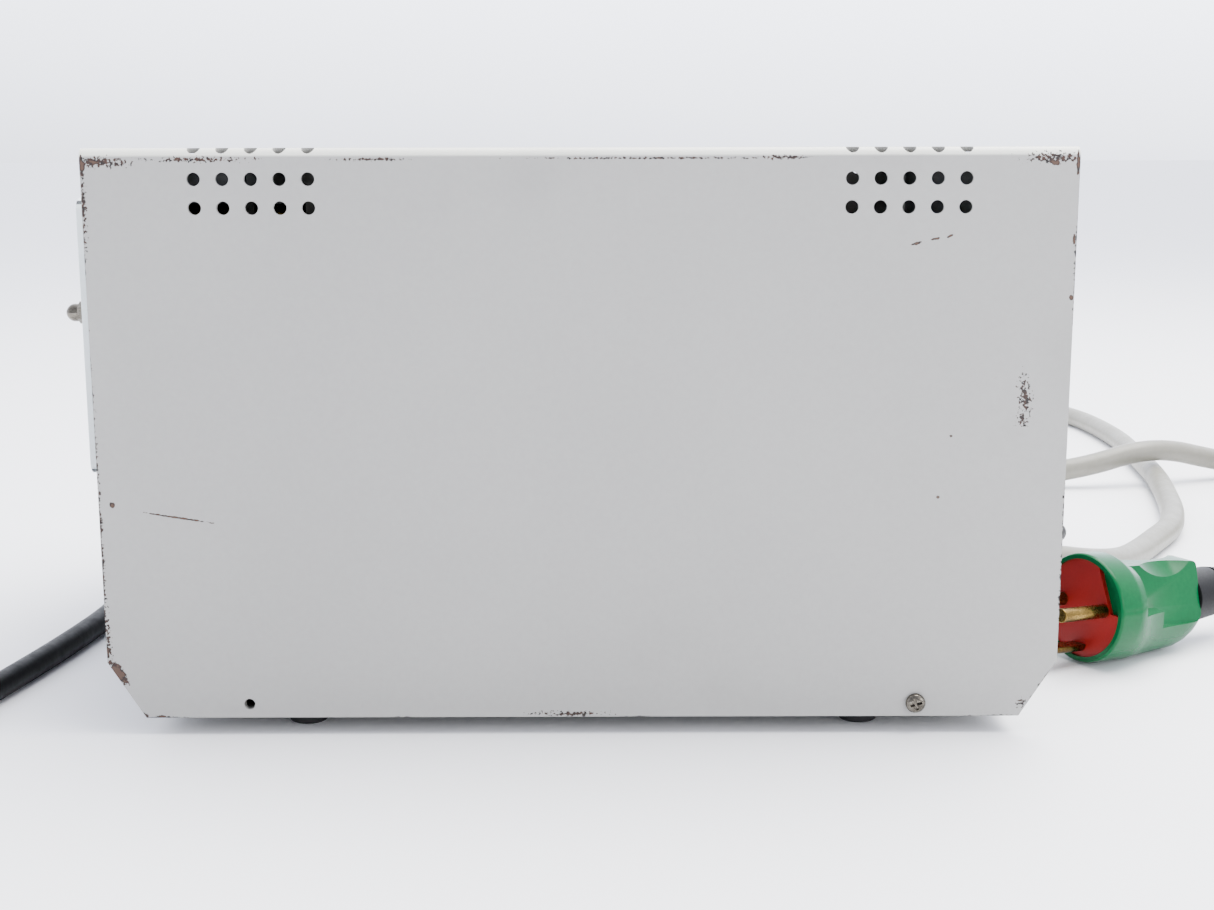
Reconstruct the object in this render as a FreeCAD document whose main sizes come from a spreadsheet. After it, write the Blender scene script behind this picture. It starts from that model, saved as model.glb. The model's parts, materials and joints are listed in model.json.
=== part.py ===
import FreeCAD, Part
import math
import os
import re
import Sketcher
from FreeCAD import Placement, Rotation, Vector

# Bench peristaltic pump. Origin on the table, in the middle of the four feet.
# The pump head is on the -X end, the lead glands are on the +X end, +Z is up.

sizes = {
    # sheet-metal case
    "coverLength": 288.0,
    "caseWidth": 216.0,
    "panelHeight": 171.0,
    "footHeight": 5.5,
    "sheet": 1.5,
    "bendRadius": 2.7,
    "cornerRun": 11.0,
    "cornerRise": 17.5,
    "ventPitch": 8.24,
    "ventRadius": 1.95,
    "ventGroup": 95.0,
    "ventDrop": 8.9,
    "ventTopStart": 7.2,
    "ventBendTurn": 21.0,
    "screwSpan": 101.4,
    "screwRise": 4.25,
    "coverScrewHole": 1.7,
    "trayFlange": 20.0,
    "trayGap": 0.1,
    "footSpanX": 86.0,
    "footSpanY": 93.0,
    "footRadius": 6.5,
    "footHole": 2.1,
    # pump head
    "headY": 10.0,
    "headZ": 118.0,
    "basePlate": 6.0,
    "baseHalfWidth": 55.0,
    "baseBottom": 66.0,
    "baseTop": 173.0,
    "headScrewY": 50.0,
    "headScrewLow": 72.0,
    "headScrewHigh": 164.0,
    "headScrewHole": 2.1,
    "blockHalfWidth": 43.0,
    "blockBottom": 72.0,
    "blockTop": 116.0,
    "blockFront": -164.0,
    "bedBottom": 117.0,
    "bedTop": 158.0,
    "bedLift": 3.5,
    "trackRadius": 32.0,
    "tubeRadius": 3.2,
    "tubeBore": 1.6,
    "tubeTurn": 28.5,
    "tubeX": -152.0,
    "tubeBottom": 66.0,
    "slotWidth": 7.2,
    "guideOffset": 37.5,
    "guideRadius": 2.5,
    "camZ": 167.0,
    "camPinRadius": 2.5,
    "camRadius": 6.95,
    "camThrow": 2.02,
    "runningGap": 0.05,
    "coverX": -168.3,
    "coverThickness": 2.5,
    "hingeY": 65.5,
    # rotor and drive
    "shaftRadius": 4.0,
    "discRadius": 21.5,
    "discThickness": 3.5,
    "rollerCircle": 18.0,
    "rollerRadius": 7.0,
    "rollerPin": 2.5,
    "rollerStart": -160.0,
    "rollerLength": 16.0,
    "sleeveEnd": -179.5,
    "nutWidth": 7.0,
    "nutHex": 3.2,
    "nutDome": 3.25,
    "bearingRadius": 9.5,
    "wheelTeeth": 60.0,
    "pinionTeeth": 15.0,
    "gearModule": 1.0,
    "motorRadius": 21.0,
    "motorShaft": 2.5,
    # controls on the front panel
    "controlZ": 42.0,
    "rockerY": -62.0,
    "toggleY": -25.0,
    "knobY": 20.0,
    "buttonY": 62.0,
    "lampZ": 64.0,
    # leads
    "glandZ": 19.0,
    "mainsY": 88.0,
    "controlY": 45.0,
    "glandEnd": 153.0,
    "mainsRadius": 4.25,
    "controlRadius": 5.5,
    # plug
    "plugX": 171.0,
    "plugY": -37.3,
    "plugZ": 19.8,
    "plugTurn": 30.0,
    "plugTilt": 3.5,
    "plugRise": 2.6,
    "plugRadius": 19.0,
    "plugLength": 50.0,
    "bootLength": 26.0,
}

doc = FreeCAD.newDocument("PeristalticPump")
sheet = doc.addObject("Spreadsheet::Sheet", "Sizes")
for rowNumber, (alias, number) in enumerate(sizes.items(), start=1):
    sheet.set("A%d" % rowNumber, alias)
    sheet.set("B%d" % rowNumber, str(number))
    sheet.setAlias("B%d" % rowNumber, alias)
doc.recompute()

subParts = []
alongX = Rotation(Vector(0, 1, 0), 90)
alongY = Rotation(Vector(1, 0, 0), -90)
alongZ = Rotation()
turns = {"X": alongX, "Y": alongY, "Z": alongZ}
facingX = Rotation(Vector(0, 1, 0), Vector(0, 0, 1), Vector(1, 0, 0), "ZXY")


def size(alias):
    return float(sheet.get(alias))


def link(text):
    """Writes each size name in an expression as a reference to the sheet."""
    def named(found):
        word = found.group(0)
        return "Sizes." + word if word in sizes else word
    return re.sub(r"[A-Za-z]\w*", named, text)


def bind(thing, **expressions):
    for prop, text in expressions.items():
        thing.setExpression(prop.replace("_", "."), link(text))


def place(thing, x, y, z, rotation=alongZ):
    thing.Placement = Placement(Vector(), rotation)
    bind(thing, Placement_Base_x=x, Placement_Base_y=y, Placement_Base_z=z)


def keep(thing, label):
    thing.Label = label
    subParts.append(thing)
    return thing


def box(name, low, lengths):
    thing = doc.addObject("Part::Box", name)
    bind(thing, Length=lengths[0], Width=lengths[1], Height=lengths[2])
    place(thing, *low)
    return thing


def rod(name, start, radius, length, axis="X"):
    thing = doc.addObject("Part::Cylinder", name)
    bind(thing, Radius=radius, Height=length)
    place(thing, *start, rotation=turns[axis])
    return thing


def cone(name, start, radius, endRadius, length, axis="X"):
    thing = doc.addObject("Part::Cone", name)
    bind(thing, Radius1=radius, Radius2=endRadius, Height=length)
    place(thing, *start, rotation=turns[axis])
    return thing


def ball(name, centre, radius):
    thing = doc.addObject("Part::Sphere", name)
    bind(thing, Radius=radius)
    place(thing, *centre, rotation=alongX)
    return thing


def cut(name, base, tool):
    thing = doc.addObject("Part::Cut", name)
    thing.Base = base
    thing.Tool = tool
    return thing


def fuse(name, shapes):
    thing = doc.addObject("Part::MultiFuse", name)
    thing.Shapes = shapes
    return thing


def common(name, shapes):
    thing = doc.addObject("Part::MultiCommon", name)
    thing.Shapes = shapes
    return thing


def group(name, shapes):
    thing = doc.addObject("Part::Compound", name)
    thing.Links = shapes
    return thing


def cutAll(name, base, tools):
    return cut(name, base, fuse(name + "Tools", tools) if len(tools) > 1 else tools[0])


def ring(name, start, radius, bore, length, axis="X"):
    outside = rod(name + "Outside", start, radius, length, axis)
    return cut(name, outside, rod(name + "Bore", start, bore, length, axis))


def sketchOn(body, name, role, offset=None):
    """Makes an empty sketch on one of the body's own origin planes."""
    sketch = body.newObject("Sketcher::SketchObject", name)
    plane = [item for item in body.Origin.OriginFeatures if item.Role == role][0]
    sketch.AttachmentSupport = [(plane, "")]
    sketch.MapMode = "FlatFace"
    if offset is not None:
        sketch.setExpression("AttachmentOffset.Base.z", link(offset))
    return sketch


def hold(sketch, kind, element, point, text, start):
    number = sketch.addConstraint(Sketcher.Constraint(kind, -1, 1, element, point, start))
    sketch.setExpression("Constraints[%d]" % number, link(text))


def addPolygon(sketch, corners):
    """Closed outline whose corners are held by distances from the origin."""
    first = sketch.GeometryCount
    count = len(corners)
    angles = [2 * math.pi * (step + 0.5) / count for step in range(count)]
    starts = [Vector(10 * math.cos(angle), 10 * math.sin(angle), 0) for angle in angles]
    for step in range(count):
        sketch.addGeometry(Part.LineSegment(starts[step], starts[(step + 1) % count]), False)
    for step in range(count):
        following = first + (step + 1) % count
        sketch.addConstraint(Sketcher.Constraint("Coincident", first + step, 2, following, 1))
    for step, (across, up) in enumerate(corners):
        hold(sketch, "DistanceX", first + step, 1, across, starts[step].x)
        hold(sketch, "DistanceY", first + step, 1, up, starts[step].y)


def addRectangle(sketch, left, low, right, high):
    addPolygon(sketch, [(left, low), (right, low), (right, high), (left, high)])


def addCircles(sketch, centres, radius):
    """Equal circles: the first one's radius is bound and the rest follow it."""
    first = sketch.GeometryCount
    for step, (across, up) in enumerate(centres):
        middle = Vector(3.0 * step + 1, 2, 0)
        sketch.addGeometry(Part.Circle(middle, Vector(0, 0, 1), 1.0), False)
        hold(sketch, "DistanceX", first + step, 3, across, middle.x)
        hold(sketch, "DistanceY", first + step, 3, up, middle.y)
        if step:
            sketch.addConstraint(Sketcher.Constraint("Equal", first, first + step))
    number = sketch.addConstraint(Sketcher.Constraint("Radius", first, 1.0))
    sketch.setExpression("Constraints[%d]" % number, link(radius))


def pad(body, name, sketch, length, side="One side", reverse=False):
    feature = body.newObject("PartDesign::Pad", name)
    feature.Profile = sketch
    feature.SideType = side
    feature.Reversed = reverse
    bind(feature, Length=length)
    doc.recompute()
    return feature


def pocket(body, name, sketch, length=None, side="One side", reverse=False):
    """Cuts the sketch out of the body, and stops if nothing was cut."""
    before = body.Shape.Volume
    feature = body.newObject("PartDesign::Pocket", name)
    feature.Profile = sketch
    feature.SideType = side
    feature.Reversed = reverse
    if length is None:
        feature.Type = "ThroughAll"
    else:
        bind(feature, Length=length)
    doc.recompute()
    if not body.Shape.Volume < before - 0.01:
        raise RuntimeError(name + " cuts nothing")
    return feature


def edgesWhere(shape, wanted):
    return ["Edge%d" % number for number, edge in enumerate(shape.Edges, start=1) if wanted(edge)]


def runsAlong(edge, axis):
    if edge.Curve.TypeId != "Part::GeomLine":
        return False
    return abs(abs(edge.Curve.Direction.dot(axis)) - 1) < 1e-6


def fillet(body, name, base, wanted, radius):
    feature = body.newObject("PartDesign::Fillet", name)
    feature.Base = (base, edgesWhere(base.Shape, wanted))
    bind(feature, Radius=radius)
    doc.recompute()
    return feature


def ventColumns():
    sides = [("-ventGroup", 5), ("ventGroup", 5)]
    return ["%s + (%d) * ventPitch" % (side, step - 2) for side, count in sides for step in range(count)]


def buildCaseCover():
    """U-shaped sheet: two sides and a top, open below and at both ends."""
    body = doc.addObject("PartDesign::Body", "CaseCover")
    outline = sketchOn(body, "CoverOutline", "YZ_Plane")
    top = "footHeight + panelHeight"
    addPolygon(outline, [
        ("-caseWidth / 2", "footHeight"), ("-caseWidth / 2 + sheet", "footHeight"),
        ("-caseWidth / 2 + sheet", top + " - sheet"), ("caseWidth / 2 - sheet", top + " - sheet"),
        ("caseWidth / 2 - sheet", "footHeight"), ("caseWidth / 2", "footHeight"),
        ("caseWidth / 2", top), ("-caseWidth / 2", top)])
    folded = pad(body, "CoverSheet", outline, "coverLength", side="Symmetric")
    topHeight = size("footHeight") + size("panelHeight")

    def outerBend(edge):
        return runsAlong(edge, Vector(1, 0, 0)) and abs(edge.CenterOfMass.z - topHeight) < 0.01

    def innerBend(edge):
        low = edge.CenterOfMass.z - (topHeight - size("sheet"))
        return runsAlong(edge, Vector(1, 0, 0)) and abs(low) < 0.01
    bent = fillet(body, "OuterBends", folded, outerBend, "bendRadius")
    fillet(body, "InnerBends", bent, innerBend, "bendRadius - sheet")

    corners = sketchOn(body, "CutCorners", "XZ_Plane")
    for side in ("-", ""):
        inward = "+" if side == "-" else "-"
        addPolygon(corners, [
            (side + "coverLength / 2", "footHeight"),
            ("%scoverLength / 2 %s cornerRun" % (side, inward), "footHeight"),
            (side + "coverLength / 2", "footHeight + cornerRise")])
    pocket(body, "CornerCut", corners, side="Symmetric")

    sideVents = sketchOn(body, "SideVents", "XZ_Plane")
    firstRow = top + " - ventDrop"
    rows = [firstRow, firstRow + " - ventPitch"]
    addCircles(sideVents, [(across, up) for across in ventColumns() for up in rows], "ventRadius")
    pocket(body, "SideVentHoles", sideVents, side="Symmetric")

    topVents = sketchOn(body, "TopVents", "XY_Plane")
    inset = "(caseWidth / 2 - bendRadius - ventTopStart - %d * ventPitch)"
    rows = [sign + inset % step for sign in ("-", "") for step in range(3)]
    addCircles(topVents, [(across, up) for across in ventColumns() for up in rows], "ventRadius")
    pocket(body, "TopVentHoles", topVents, reverse=True)

    for name, sign in (("Near", 1), ("Far", -1)):
        bend = sketchOn(body, name + "BendVents", "XY_Plane")
        turn = Rotation(Vector(1, 0, 0), sign * size("ventBendTurn"))
        bend.AttachmentOffset = Placement(Vector(), turn)
        middle = "(caseWidth / 2 - bendRadius)"
        bend.setExpression("AttachmentOffset.Base.y", link("%d * " % -sign + middle))
        bend.setExpression("AttachmentOffset.Base.z", link(top + " - bendRadius"))
        addCircles(bend, [(across, "0") for across in ventColumns()], "ventRadius")
        pocket(body, name + "BendVentHoles", bend, length="2 * bendRadius", reverse=True)

    screws = sketchOn(body, "CoverScrewHoles", "XZ_Plane")
    height = "footHeight + screwRise"
    addCircles(screws, [("-screwSpan", height), ("screwSpan", height)], "coverScrewHole")
    pocket(body, "CoverScrewHoleCut", screws, side="Symmetric")
    keep(body, "case_cover")


def buildChassisTray():
    """Bottom sheet with a flange up each side for the cover's screws."""
    body = doc.addObject("PartDesign::Body", "ChassisTray")
    outline = sketchOn(body, "TrayOutline", "YZ_Plane")
    half = "(caseWidth / 2 - sheet - trayGap)"
    addPolygon(outline, [
        ("-" + half, "footHeight"), (half, "footHeight"),
        (half, "footHeight + trayFlange"), (half + " - sheet", "footHeight + trayFlange"),
        (half + " - sheet", "footHeight + sheet"), ("sheet - " + half, "footHeight + sheet"),
        ("sheet - " + half, "footHeight + trayFlange"), ("-" + half, "footHeight + trayFlange")])
    length = "coverLength - 2 * cornerRun - 2 * sheet - 2 * trayGap"
    pad(body, "TraySheet", outline, length, side="Symmetric")
    threads = sketchOn(body, "TrayScrewHoles", "XZ_Plane")
    height = "footHeight + screwRise"
    addCircles(threads, [("-screwSpan", height), ("screwSpan", height)], "coverScrewHole - 0.25")
    pocket(body, "TrayScrewHoleCut", threads, side="Symmetric")
    feet = sketchOn(body, "TrayFootHoles", "XY_Plane")
    centres = [(x + "footSpanX", y + "footSpanY") for x in ("-", "") for y in ("-", "")]
    addCircles(feet, centres, "footHole")
    pocket(body, "TrayFootHoleCut", feet, length="footHeight + 2 * sheet", reverse=True)
    keep(body, "chassis_tray")


def endPanel(name, near, circles, rectangles):
    """One end panel from X = near, one sheet thick, with its holes."""
    body = doc.addObject("PartDesign::Body", name)
    outline = sketchOn(body, name + "Outline", "YZ_Plane", offset=near)
    half = "(caseWidth / 2 - sheet - 0.7)"
    addRectangle(outline, "-" + half, "footHeight + sheet + trayGap",
                 half, "footHeight + panelHeight - sheet - 0.5")
    pad(body, name + "Sheet", outline, "sheet")
    for step, (centres, radius) in enumerate(circles):
        holes = sketchOn(body, "%sHoles%d" % (name, step), "YZ_Plane", offset=near)
        addCircles(holes, centres, radius)
        pocket(body, "%sHoleCut%d" % (name, step), holes, reverse=True)
    for step, sides in enumerate(rectangles):
        window = sketchOn(body, "%sWindow%d" % (name, step), "YZ_Plane", offset=near)
        addRectangle(window, *sides)
        pocket(body, "%sWindowCut%d" % (name, step), window, reverse=True)
    return body


def headScrewCentres():
    rows = ("headScrewLow", "headScrewHigh")
    return [("headY %s headScrewY" % side, row) for side in "-+" for row in rows]


frontFace = "cornerRun - coverLength / 2"
rearInside = "coverLength / 2 - cornerRun - sheet"


def buildPanels():
    front = endPanel("FrontPanel", frontFace, [
        ([("headY", "headZ")], "bearingRadius + 2.5"),
        (headScrewCentres(), "headScrewHole"),
        ([("toggleY", "controlZ")], "3.1"),
        ([("knobY", "controlZ")], "3.7"),
        ([("buttonY", "controlZ")], "6.1"),
        ([("rockerY", "lampZ")], "3.1"),
    ], [("rockerY - 6.6", "controlZ - 9.8", "rockerY + 6.6", "controlZ + 9.8")])
    keep(front, "front_panel")
    rear = endPanel("RearPanel", rearInside, [
        ([("mainsY", "glandZ"), ("controlY", "glandZ")], "8.0"),
        ([("0", "controlZ")], "6.6"),
    ], [])
    keep(rear, "rear_panel")


def buildFeet():
    """Four hollow rubber feet, each with a recess for a screw head."""
    feet = []
    for x in ("-footSpanX", "footSpanX"):
        for y in ("-footSpanY", "footSpanY"):
            name = "Foot%d" % len(feet)
            outside = cone(name + "Side", (x, y, "0"), "footRadius - 0.5", "footRadius", "footHeight", "Z")
            hole = rod(name + "Hole", (x, y, "0"), "footHole", "footHeight", "Z")
            feet.append(cut(name, outside, hole))
    keep(group("Feet", feet), "rubber_feet")


def panScrew(name, point, axis, sign, headRadius, headHeight, shankRadius, shankLength):
    """Pan-head screw. Its head stands out from the point towards sign along the axis."""
    def at(distance):
        moved = list(point)
        step = "XYZ".index(axis)
        moved[step] = "%s + (%.3f)" % (point[step], distance)
        return tuple(moved)
    headStart = at(0 if sign > 0 else -headHeight)
    shankStart = at(-shankLength if sign > 0 else 0)
    head = rod(name + "Head", headStart, str(headRadius), str(headHeight), axis)
    crown = ball(name + "Crown", at(sign * (headHeight - 1.15 * headRadius)), "1.15 * %s" % headRadius)
    rounded = common(name + "Rounded", [head, crown])
    shank = rod(name + "Shank", shankStart, str(shankRadius), str(shankLength), axis)
    whole = fuse(name + "Whole", [rounded, shank])
    slots = []
    for turn in (0, 1):
        slot = doc.addObject("Part::Box", "%sSlot%d" % (name, turn))
        across = [1.1 * headRadius, 0.3 * headRadius]
        lengths = {"X": [0.55 * headHeight] + across[::1 - 2 * turn],
                   "Y": [across[turn], 0.55 * headHeight, across[1 - turn]],
                   "Z": across[::1 - 2 * turn] + [0.55 * headHeight]}[axis]
        slot.Length, slot.Width, slot.Height = lengths
        middle = at(sign * headHeight * 0.8)
        corner = ["%s - %.3f" % (middle[step], lengths[step] / 2) for step in range(3)]
        place(slot, *corner)
        slots.append(slot)
    return cutAll(name, whole, slots)


def buildScrews():
    covers = []
    side = "caseWidth / 2"
    height = "footHeight + screwRise"
    seats = [("screwSpan", "-" + side, -1), ("-screwSpan", side, 1), ("screwSpan", side, 1)]
    for x, y, sign in seats:
        name = "CoverScrew%d" % len(covers)
        covers.append(panScrew(name, (x, y, height), "Y", sign, 3.0, 2.0, 1.45, 6.0))
    keep(group("CoverScrews", covers), "cover_screws")
    heads = []
    for y, z in headScrewCentres():
        name = "HeadScrew%d" % len(heads)
        point = (frontFace + " - basePlate", y, z)
        heads.append(panScrew(name, point, "X", -1, 3.6, 2.4, 2.0, 9.0))
    keep(group("HeadScrews", heads), "head_screws")


def buildHeadBase():
    """Plate on the front panel: bearing seat, pin seats and the cover's hinge arm."""
    back = frontFace + " - basePlate"
    plate = box("BasePlate", (back, "headY - baseHalfWidth", "baseBottom"),
                ("basePlate", "2 * baseHalfWidth", "baseTop - baseBottom"))
    arm = box("HingeArm", ("coverX + 1.3", "hingeY - 2", "headZ - 12"),
              (back + " - coverX - 1.3", "4", "24"))
    knuckle = rod("HingeArmKnuckle", ("coverX + 1.3", "hingeY", "headZ - 12"), "3.2", "24", "Z")
    whole = fuse("BaseWhole", [plate, arm, knuckle])
    seats = [
        rod("BearingSeat", (back, "headY", "headZ"), "bearingRadius", "basePlate"),
        rod("CamPinSeat", (back, "headY", "camZ"), "camPinRadius", "basePlate"),
        rod("HingePinSeat", ("coverX + 1.3", "hingeY", "headZ - 12"), "1.5", "24", "Z")]
    for y, z in headScrewCentres():
        seats.append(rod("HeadScrewHole%d" % len(seats), (back, y, z), "headScrewHole", "basePlate"))
    keep(cutAll("HeadBase", whole, seats), "head_base")
    bearing = ring("HeadBearing", (back, "headY", "headZ"), "bearingRadius",
                   "shaftRadius + 0.03", "basePlate")
    keep(bearing, "head_bearing")
    pin = rod("CamPin", ("blockFront + 2", "headY", "camZ"), "camPinRadius", frontFace + " - blockFront - 2")
    keep(pin, "cam_pin")


def trackBore(name):
    return rod(name, ("blockFront - 1", "headY", "headZ"), "trackRadius", "30")


def buildHeadBlocks():
    """Fixed lower block with the tube's slots, and the sliding bed above it."""
    back = frontFace + " - basePlate"
    lower = box("LowerBlockBox", ("blockFront", "headY - blockHalfWidth", "blockBottom"),
                (back + " - blockFront", "2 * blockHalfWidth", "blockTop - blockBottom"))
    tools = [trackBore("LowerTrack")]
    for side in "-+":
        name = "Near" if side == "-" else "Far"
        middle = "headY %s tubeTurn" % side
        tools.append(box(name + "TubeSlot", ("blockFront", middle + " - slotWidth / 2", "blockBottom"),
                         ("18", "slotWidth", "blockTop - blockBottom")))
        tools.append(rod(name + "GuideSeat", ("tubeX", "headY %s guideOffset" % side, "blockTop - 32"),
                         "guideRadius", "32", "Z"))
    keep(cutAll("LowerBlock", lower, tools), "head_block")

    bed = box("BedBox", ("blockFront", "headY - blockHalfWidth", "bedBottom"),
              (back + " - 0.4 - blockFront", "2 * blockHalfWidth", "bedTop - bedBottom"))
    tools = [trackBore("BedTrack")]
    rods = []
    springs = []
    for side in "-+":
        name = "Near" if side == "-" else "Far"
        middle = "headY %s guideOffset" % side
        tools.append(rod(name + "GuideBore", ("tubeX", middle, "bedBottom"),
                         "guideRadius + runningGap", "bedTop - bedBottom - 3", "Z"))
        tools.append(rod(name + "SpringSeat", ("tubeX", middle, "bedBottom"), "4.2", "11", "Z"))
        rods.append(rod(name + "Guide", ("tubeX", middle, "blockTop - 32"), "guideRadius", "66", "Z"))
        springs.append(springShape(size("headY") + float(side + "1") * size("guideOffset")))
    keep(cutAll("OcclusionBed", bed, tools), "occlusion_bed")
    keep(group("GuideRods", rods), "guide_rods")
    coils = doc.addObject("Part::Feature", "BedSprings")
    coils.Shape = Part.makeCompound(springs)
    keep(coils, "bed_springs")


def springShape(middleY):
    """Round-wire compression spring between the block and the bottom of its seat."""
    wire = 0.4
    coilRadius = 3.45
    turns = 4
    stepsPerTurn = 12
    seatDepth = 11
    height = size("bedBottom") + seatDepth - size("blockTop") - 2 * wire
    centre = Vector(size("tubeX"), middleY, size("blockTop") + wire)
    points = []
    for step in range(turns * stepsPerTurn + 1):
        angle = 2 * math.pi * step / stepsPerTurn
        rise = height * step / (turns * stepsPerTurn)
        points.append(centre + Vector(coilRadius * math.cos(angle), coilRadius * math.sin(angle), rise))
    curve = Part.BSplineCurve()
    curve.interpolate(points)
    along = curve.tangent(curve.FirstParameter)[0]
    section = Part.Wire([Part.makeCircle(wire, points[0], along)])
    return Part.Wire([curve.toShape()]).makePipeShell([section], True, True)


def buildCamLever():
    """Eccentric hub on its pin, with an arm and a grip. It lies flat when closed."""
    hubStart = "blockFront + 4"
    hub = rod("CamHub", (hubStart, "headY + camThrow / 2", "camZ - camThrow * 0.866"), "camRadius", "15")
    arm = box("CamArm", (hubStart + " + 2", "headY", "camZ - 2.5"), ("11", "40", "5"))
    grip = rod("CamGrip", (hubStart + " + 2", "headY + 40", "camZ"), "4.0", "11")
    bore = rod("CamBore", (hubStart + " - 1", "headY", "camZ"), "camPinRadius + runningGap", "20")
    keep(cut("CamLever", fuse("CamWhole", [hub, arm, grip]), bore), "cam_lever")


def tubeSolid(name, radius):
    """Half ring over the rotor with a straight leg down at each side."""
    arch = doc.addObject("Part::Torus", name + "Arch")
    bind(arch, Radius1="tubeTurn", Radius2=radius)
    arch.Angle3 = 180
    place(arch, "tubeX", "headY", "headZ", rotation=facingX)
    legs = []
    for side in "-+":
        start = ("tubeX", "headY %s tubeTurn" % side, "tubeBottom")
        legs.append(rod(name + ("Near" if side == "-" else "Far"), start, radius, "headZ - tubeBottom", "Z"))
    return fuse(name, [arch] + legs)


def buildTube():
    outside = tubeSolid("TubeOutside", "tubeRadius")
    keep(cut("PumpTube", outside, tubeSolid("TubeInside", "tubeBore")), "pump_tube")
    barbs = []
    for side in "-+":
        name = "Barb" + ("Near" if side == "-" else "Far")
        y = "headY %s tubeTurn" % side
        stem = rod(name + "Stem", ("tubeX", y, "tubeBottom - 4"), "tubeBore - 0.05", "10", "Z")
        collar = rod(name + "Collar", ("tubeX", y, "tubeBottom - 3"), "4.4", "3", "Z")
        spigot = rod(name + "Spigot", ("tubeX", y, "tubeBottom - 15"), "2.4", "12", "Z")
        whole = fuse(name + "Whole", [stem, collar, spigot])
        way = rod(name + "Way", ("tubeX", y, "tubeBottom - 16"), "0.9", "24", "Z")
        barbs.append(cut(name, whole, way))
    keep(group("HoseBarbs", barbs), "hose_barbs")


def buildHeadCover():
    """Clear plate in front of the rotor, hinged on a vertical pin at the far side."""
    body = doc.addObject("PartDesign::Body", "HeadCoverPlate")
    outline = sketchOn(body, "HeadCoverOutline", "YZ_Plane", offset="coverX")
    addRectangle(outline, "headY - blockHalfWidth - 2", "headZ - 51", "hingeY - 3.5", "headZ + 42")
    plate = pad(body, "HeadCoverSheet", outline, "coverThickness")
    fillet(body, "HeadCoverCorners", plate, lambda edge: runsAlong(edge, Vector(1, 0, 0)), "4")
    opening = sketchOn(body, "NutOpening", "YZ_Plane", offset="coverX")
    addCircles(opening, [("headY", "headZ")], "10")
    pocket(body, "NutOpeningCut", opening, reverse=True)
    pieces = [body]
    for step, z in enumerate(("headZ - 33", "headZ + 13")):
        pieces.append(box("CoverLug%d" % step, ("coverX", "hingeY - 4", z), ("coverThickness", "4", "20")))
        pieces.append(rod("CoverKnuckle%d" % step, ("coverX + 1.3", "hingeY", z), "3.2", "20", "Z"))
    bore = rod("CoverHingeBore", ("coverX + 1.3", "hingeY", "headZ - 36"), "1.5 + runningGap", "72", "Z")
    keep(cut("HeadCover", fuse("HeadCoverWhole", pieces), bore), "head_cover")
    pin = rod("CoverHingePin", ("coverX + 1.3", "hingeY", "headZ - 35"), "1.5", "70", "Z")
    keep(pin, "cover_hinge_pin")


def pinCentre(step):
    angle = 90 + 120 * step
    across = "headY + rollerCircle * cos(%d deg)" % angle
    return across, "headZ + rollerCircle * sin(%d deg)" % angle


def buildRotor():
    discs = (("RotorFront", "blockFront", "rotor_front_disc"),
             ("RotorBack", "rollerStart + rollerLength + 0.5", "rotor_back_disc"))
    for name, start, label in discs:
        body = doc.addObject("PartDesign::Body", name)
        outline = sketchOn(body, name + "Outline", "YZ_Plane", offset=start)
        addCircles(outline, [("headY", "headZ")], "discRadius")
        pad(body, name + "Disc", outline, "discThickness")
        bores = sketchOn(body, name + "Bores", "YZ_Plane", offset=start)
        addCircles(bores, [pinCentre(step) for step in range(3)], "rollerPin")
        pocket(body, name + "PinCut", bores, reverse=True)
        centre = sketchOn(body, name + "Centre", "YZ_Plane", offset=start)
        addCircles(centre, [("headY", "headZ")], "shaftRadius")
        pocket(body, name + "CentreCut", centre, reverse=True)
        keep(body, label)
    pins = []
    for step in range(3):
        y, z = pinCentre(step)
        length = "2 * discThickness + rollerLength + 1"
        pins.append(rod("RollerPin%d" % step, ("blockFront", y, z), "rollerPin", length))
        roller = ring("Roller%d" % step, ("rollerStart", y, z), "rollerRadius",
                      "rollerPin + runningGap", "rollerLength")
        keep(roller, "roller_%d" % (step + 1))
    keep(group("RollerPins", pins), "roller_pins")


def buildShaft():
    """Drive shaft with a threaded nose, the sleeve that clamps the rotor, and its cap nut."""
    body = doc.addObject("PartDesign::Body", "DriveShaft")
    sections = (("Nose", "sleeveEnd - 5.5", "2", "5.5"),
                ("Journal", "sleeveEnd", "shaftRadius", "-90 - sleeveEnd"))
    for name, start, radius, length in sections:
        outline = sketchOn(body, "Shaft" + name, "YZ_Plane", offset=start)
        addCircles(outline, [("headY", "headZ")], radius)
        pad(body, "Shaft%sPad" % name, outline, length)
    keep(body, "drive_shaft")
    sleeve = ring("RotorSleeve", ("sleeveEnd", "headY", "headZ"), "6", "shaftRadius",
                  "blockFront - sleeveEnd")
    keep(sleeve, "rotor_sleeve")
    hexagon = doc.addObject("Part::Prism", "NutHexagon")
    hexagon.Polygon = 6
    bind(hexagon, Circumradius="nutWidth / sqrt(3)", Height="nutHex")
    place(hexagon, "sleeveEnd - nutHex", "headY", "headZ", rotation=alongX)
    neck = rod("NutNeck", ("sleeveEnd - 8 + nutDome", "headY", "headZ"), "nutDome", "8 - nutDome")
    dome = ball("NutDome", ("sleeveEnd - 8 + nutDome", "headY", "headZ"), "nutDome")
    thread = rod("NutThread", ("sleeveEnd - 5.5", "headY", "headZ"), "2", "5.5")
    keep(cut("CapNut", fuse("NutWhole", [hexagon, neck, dome]), thread), "cap_nut")


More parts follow.
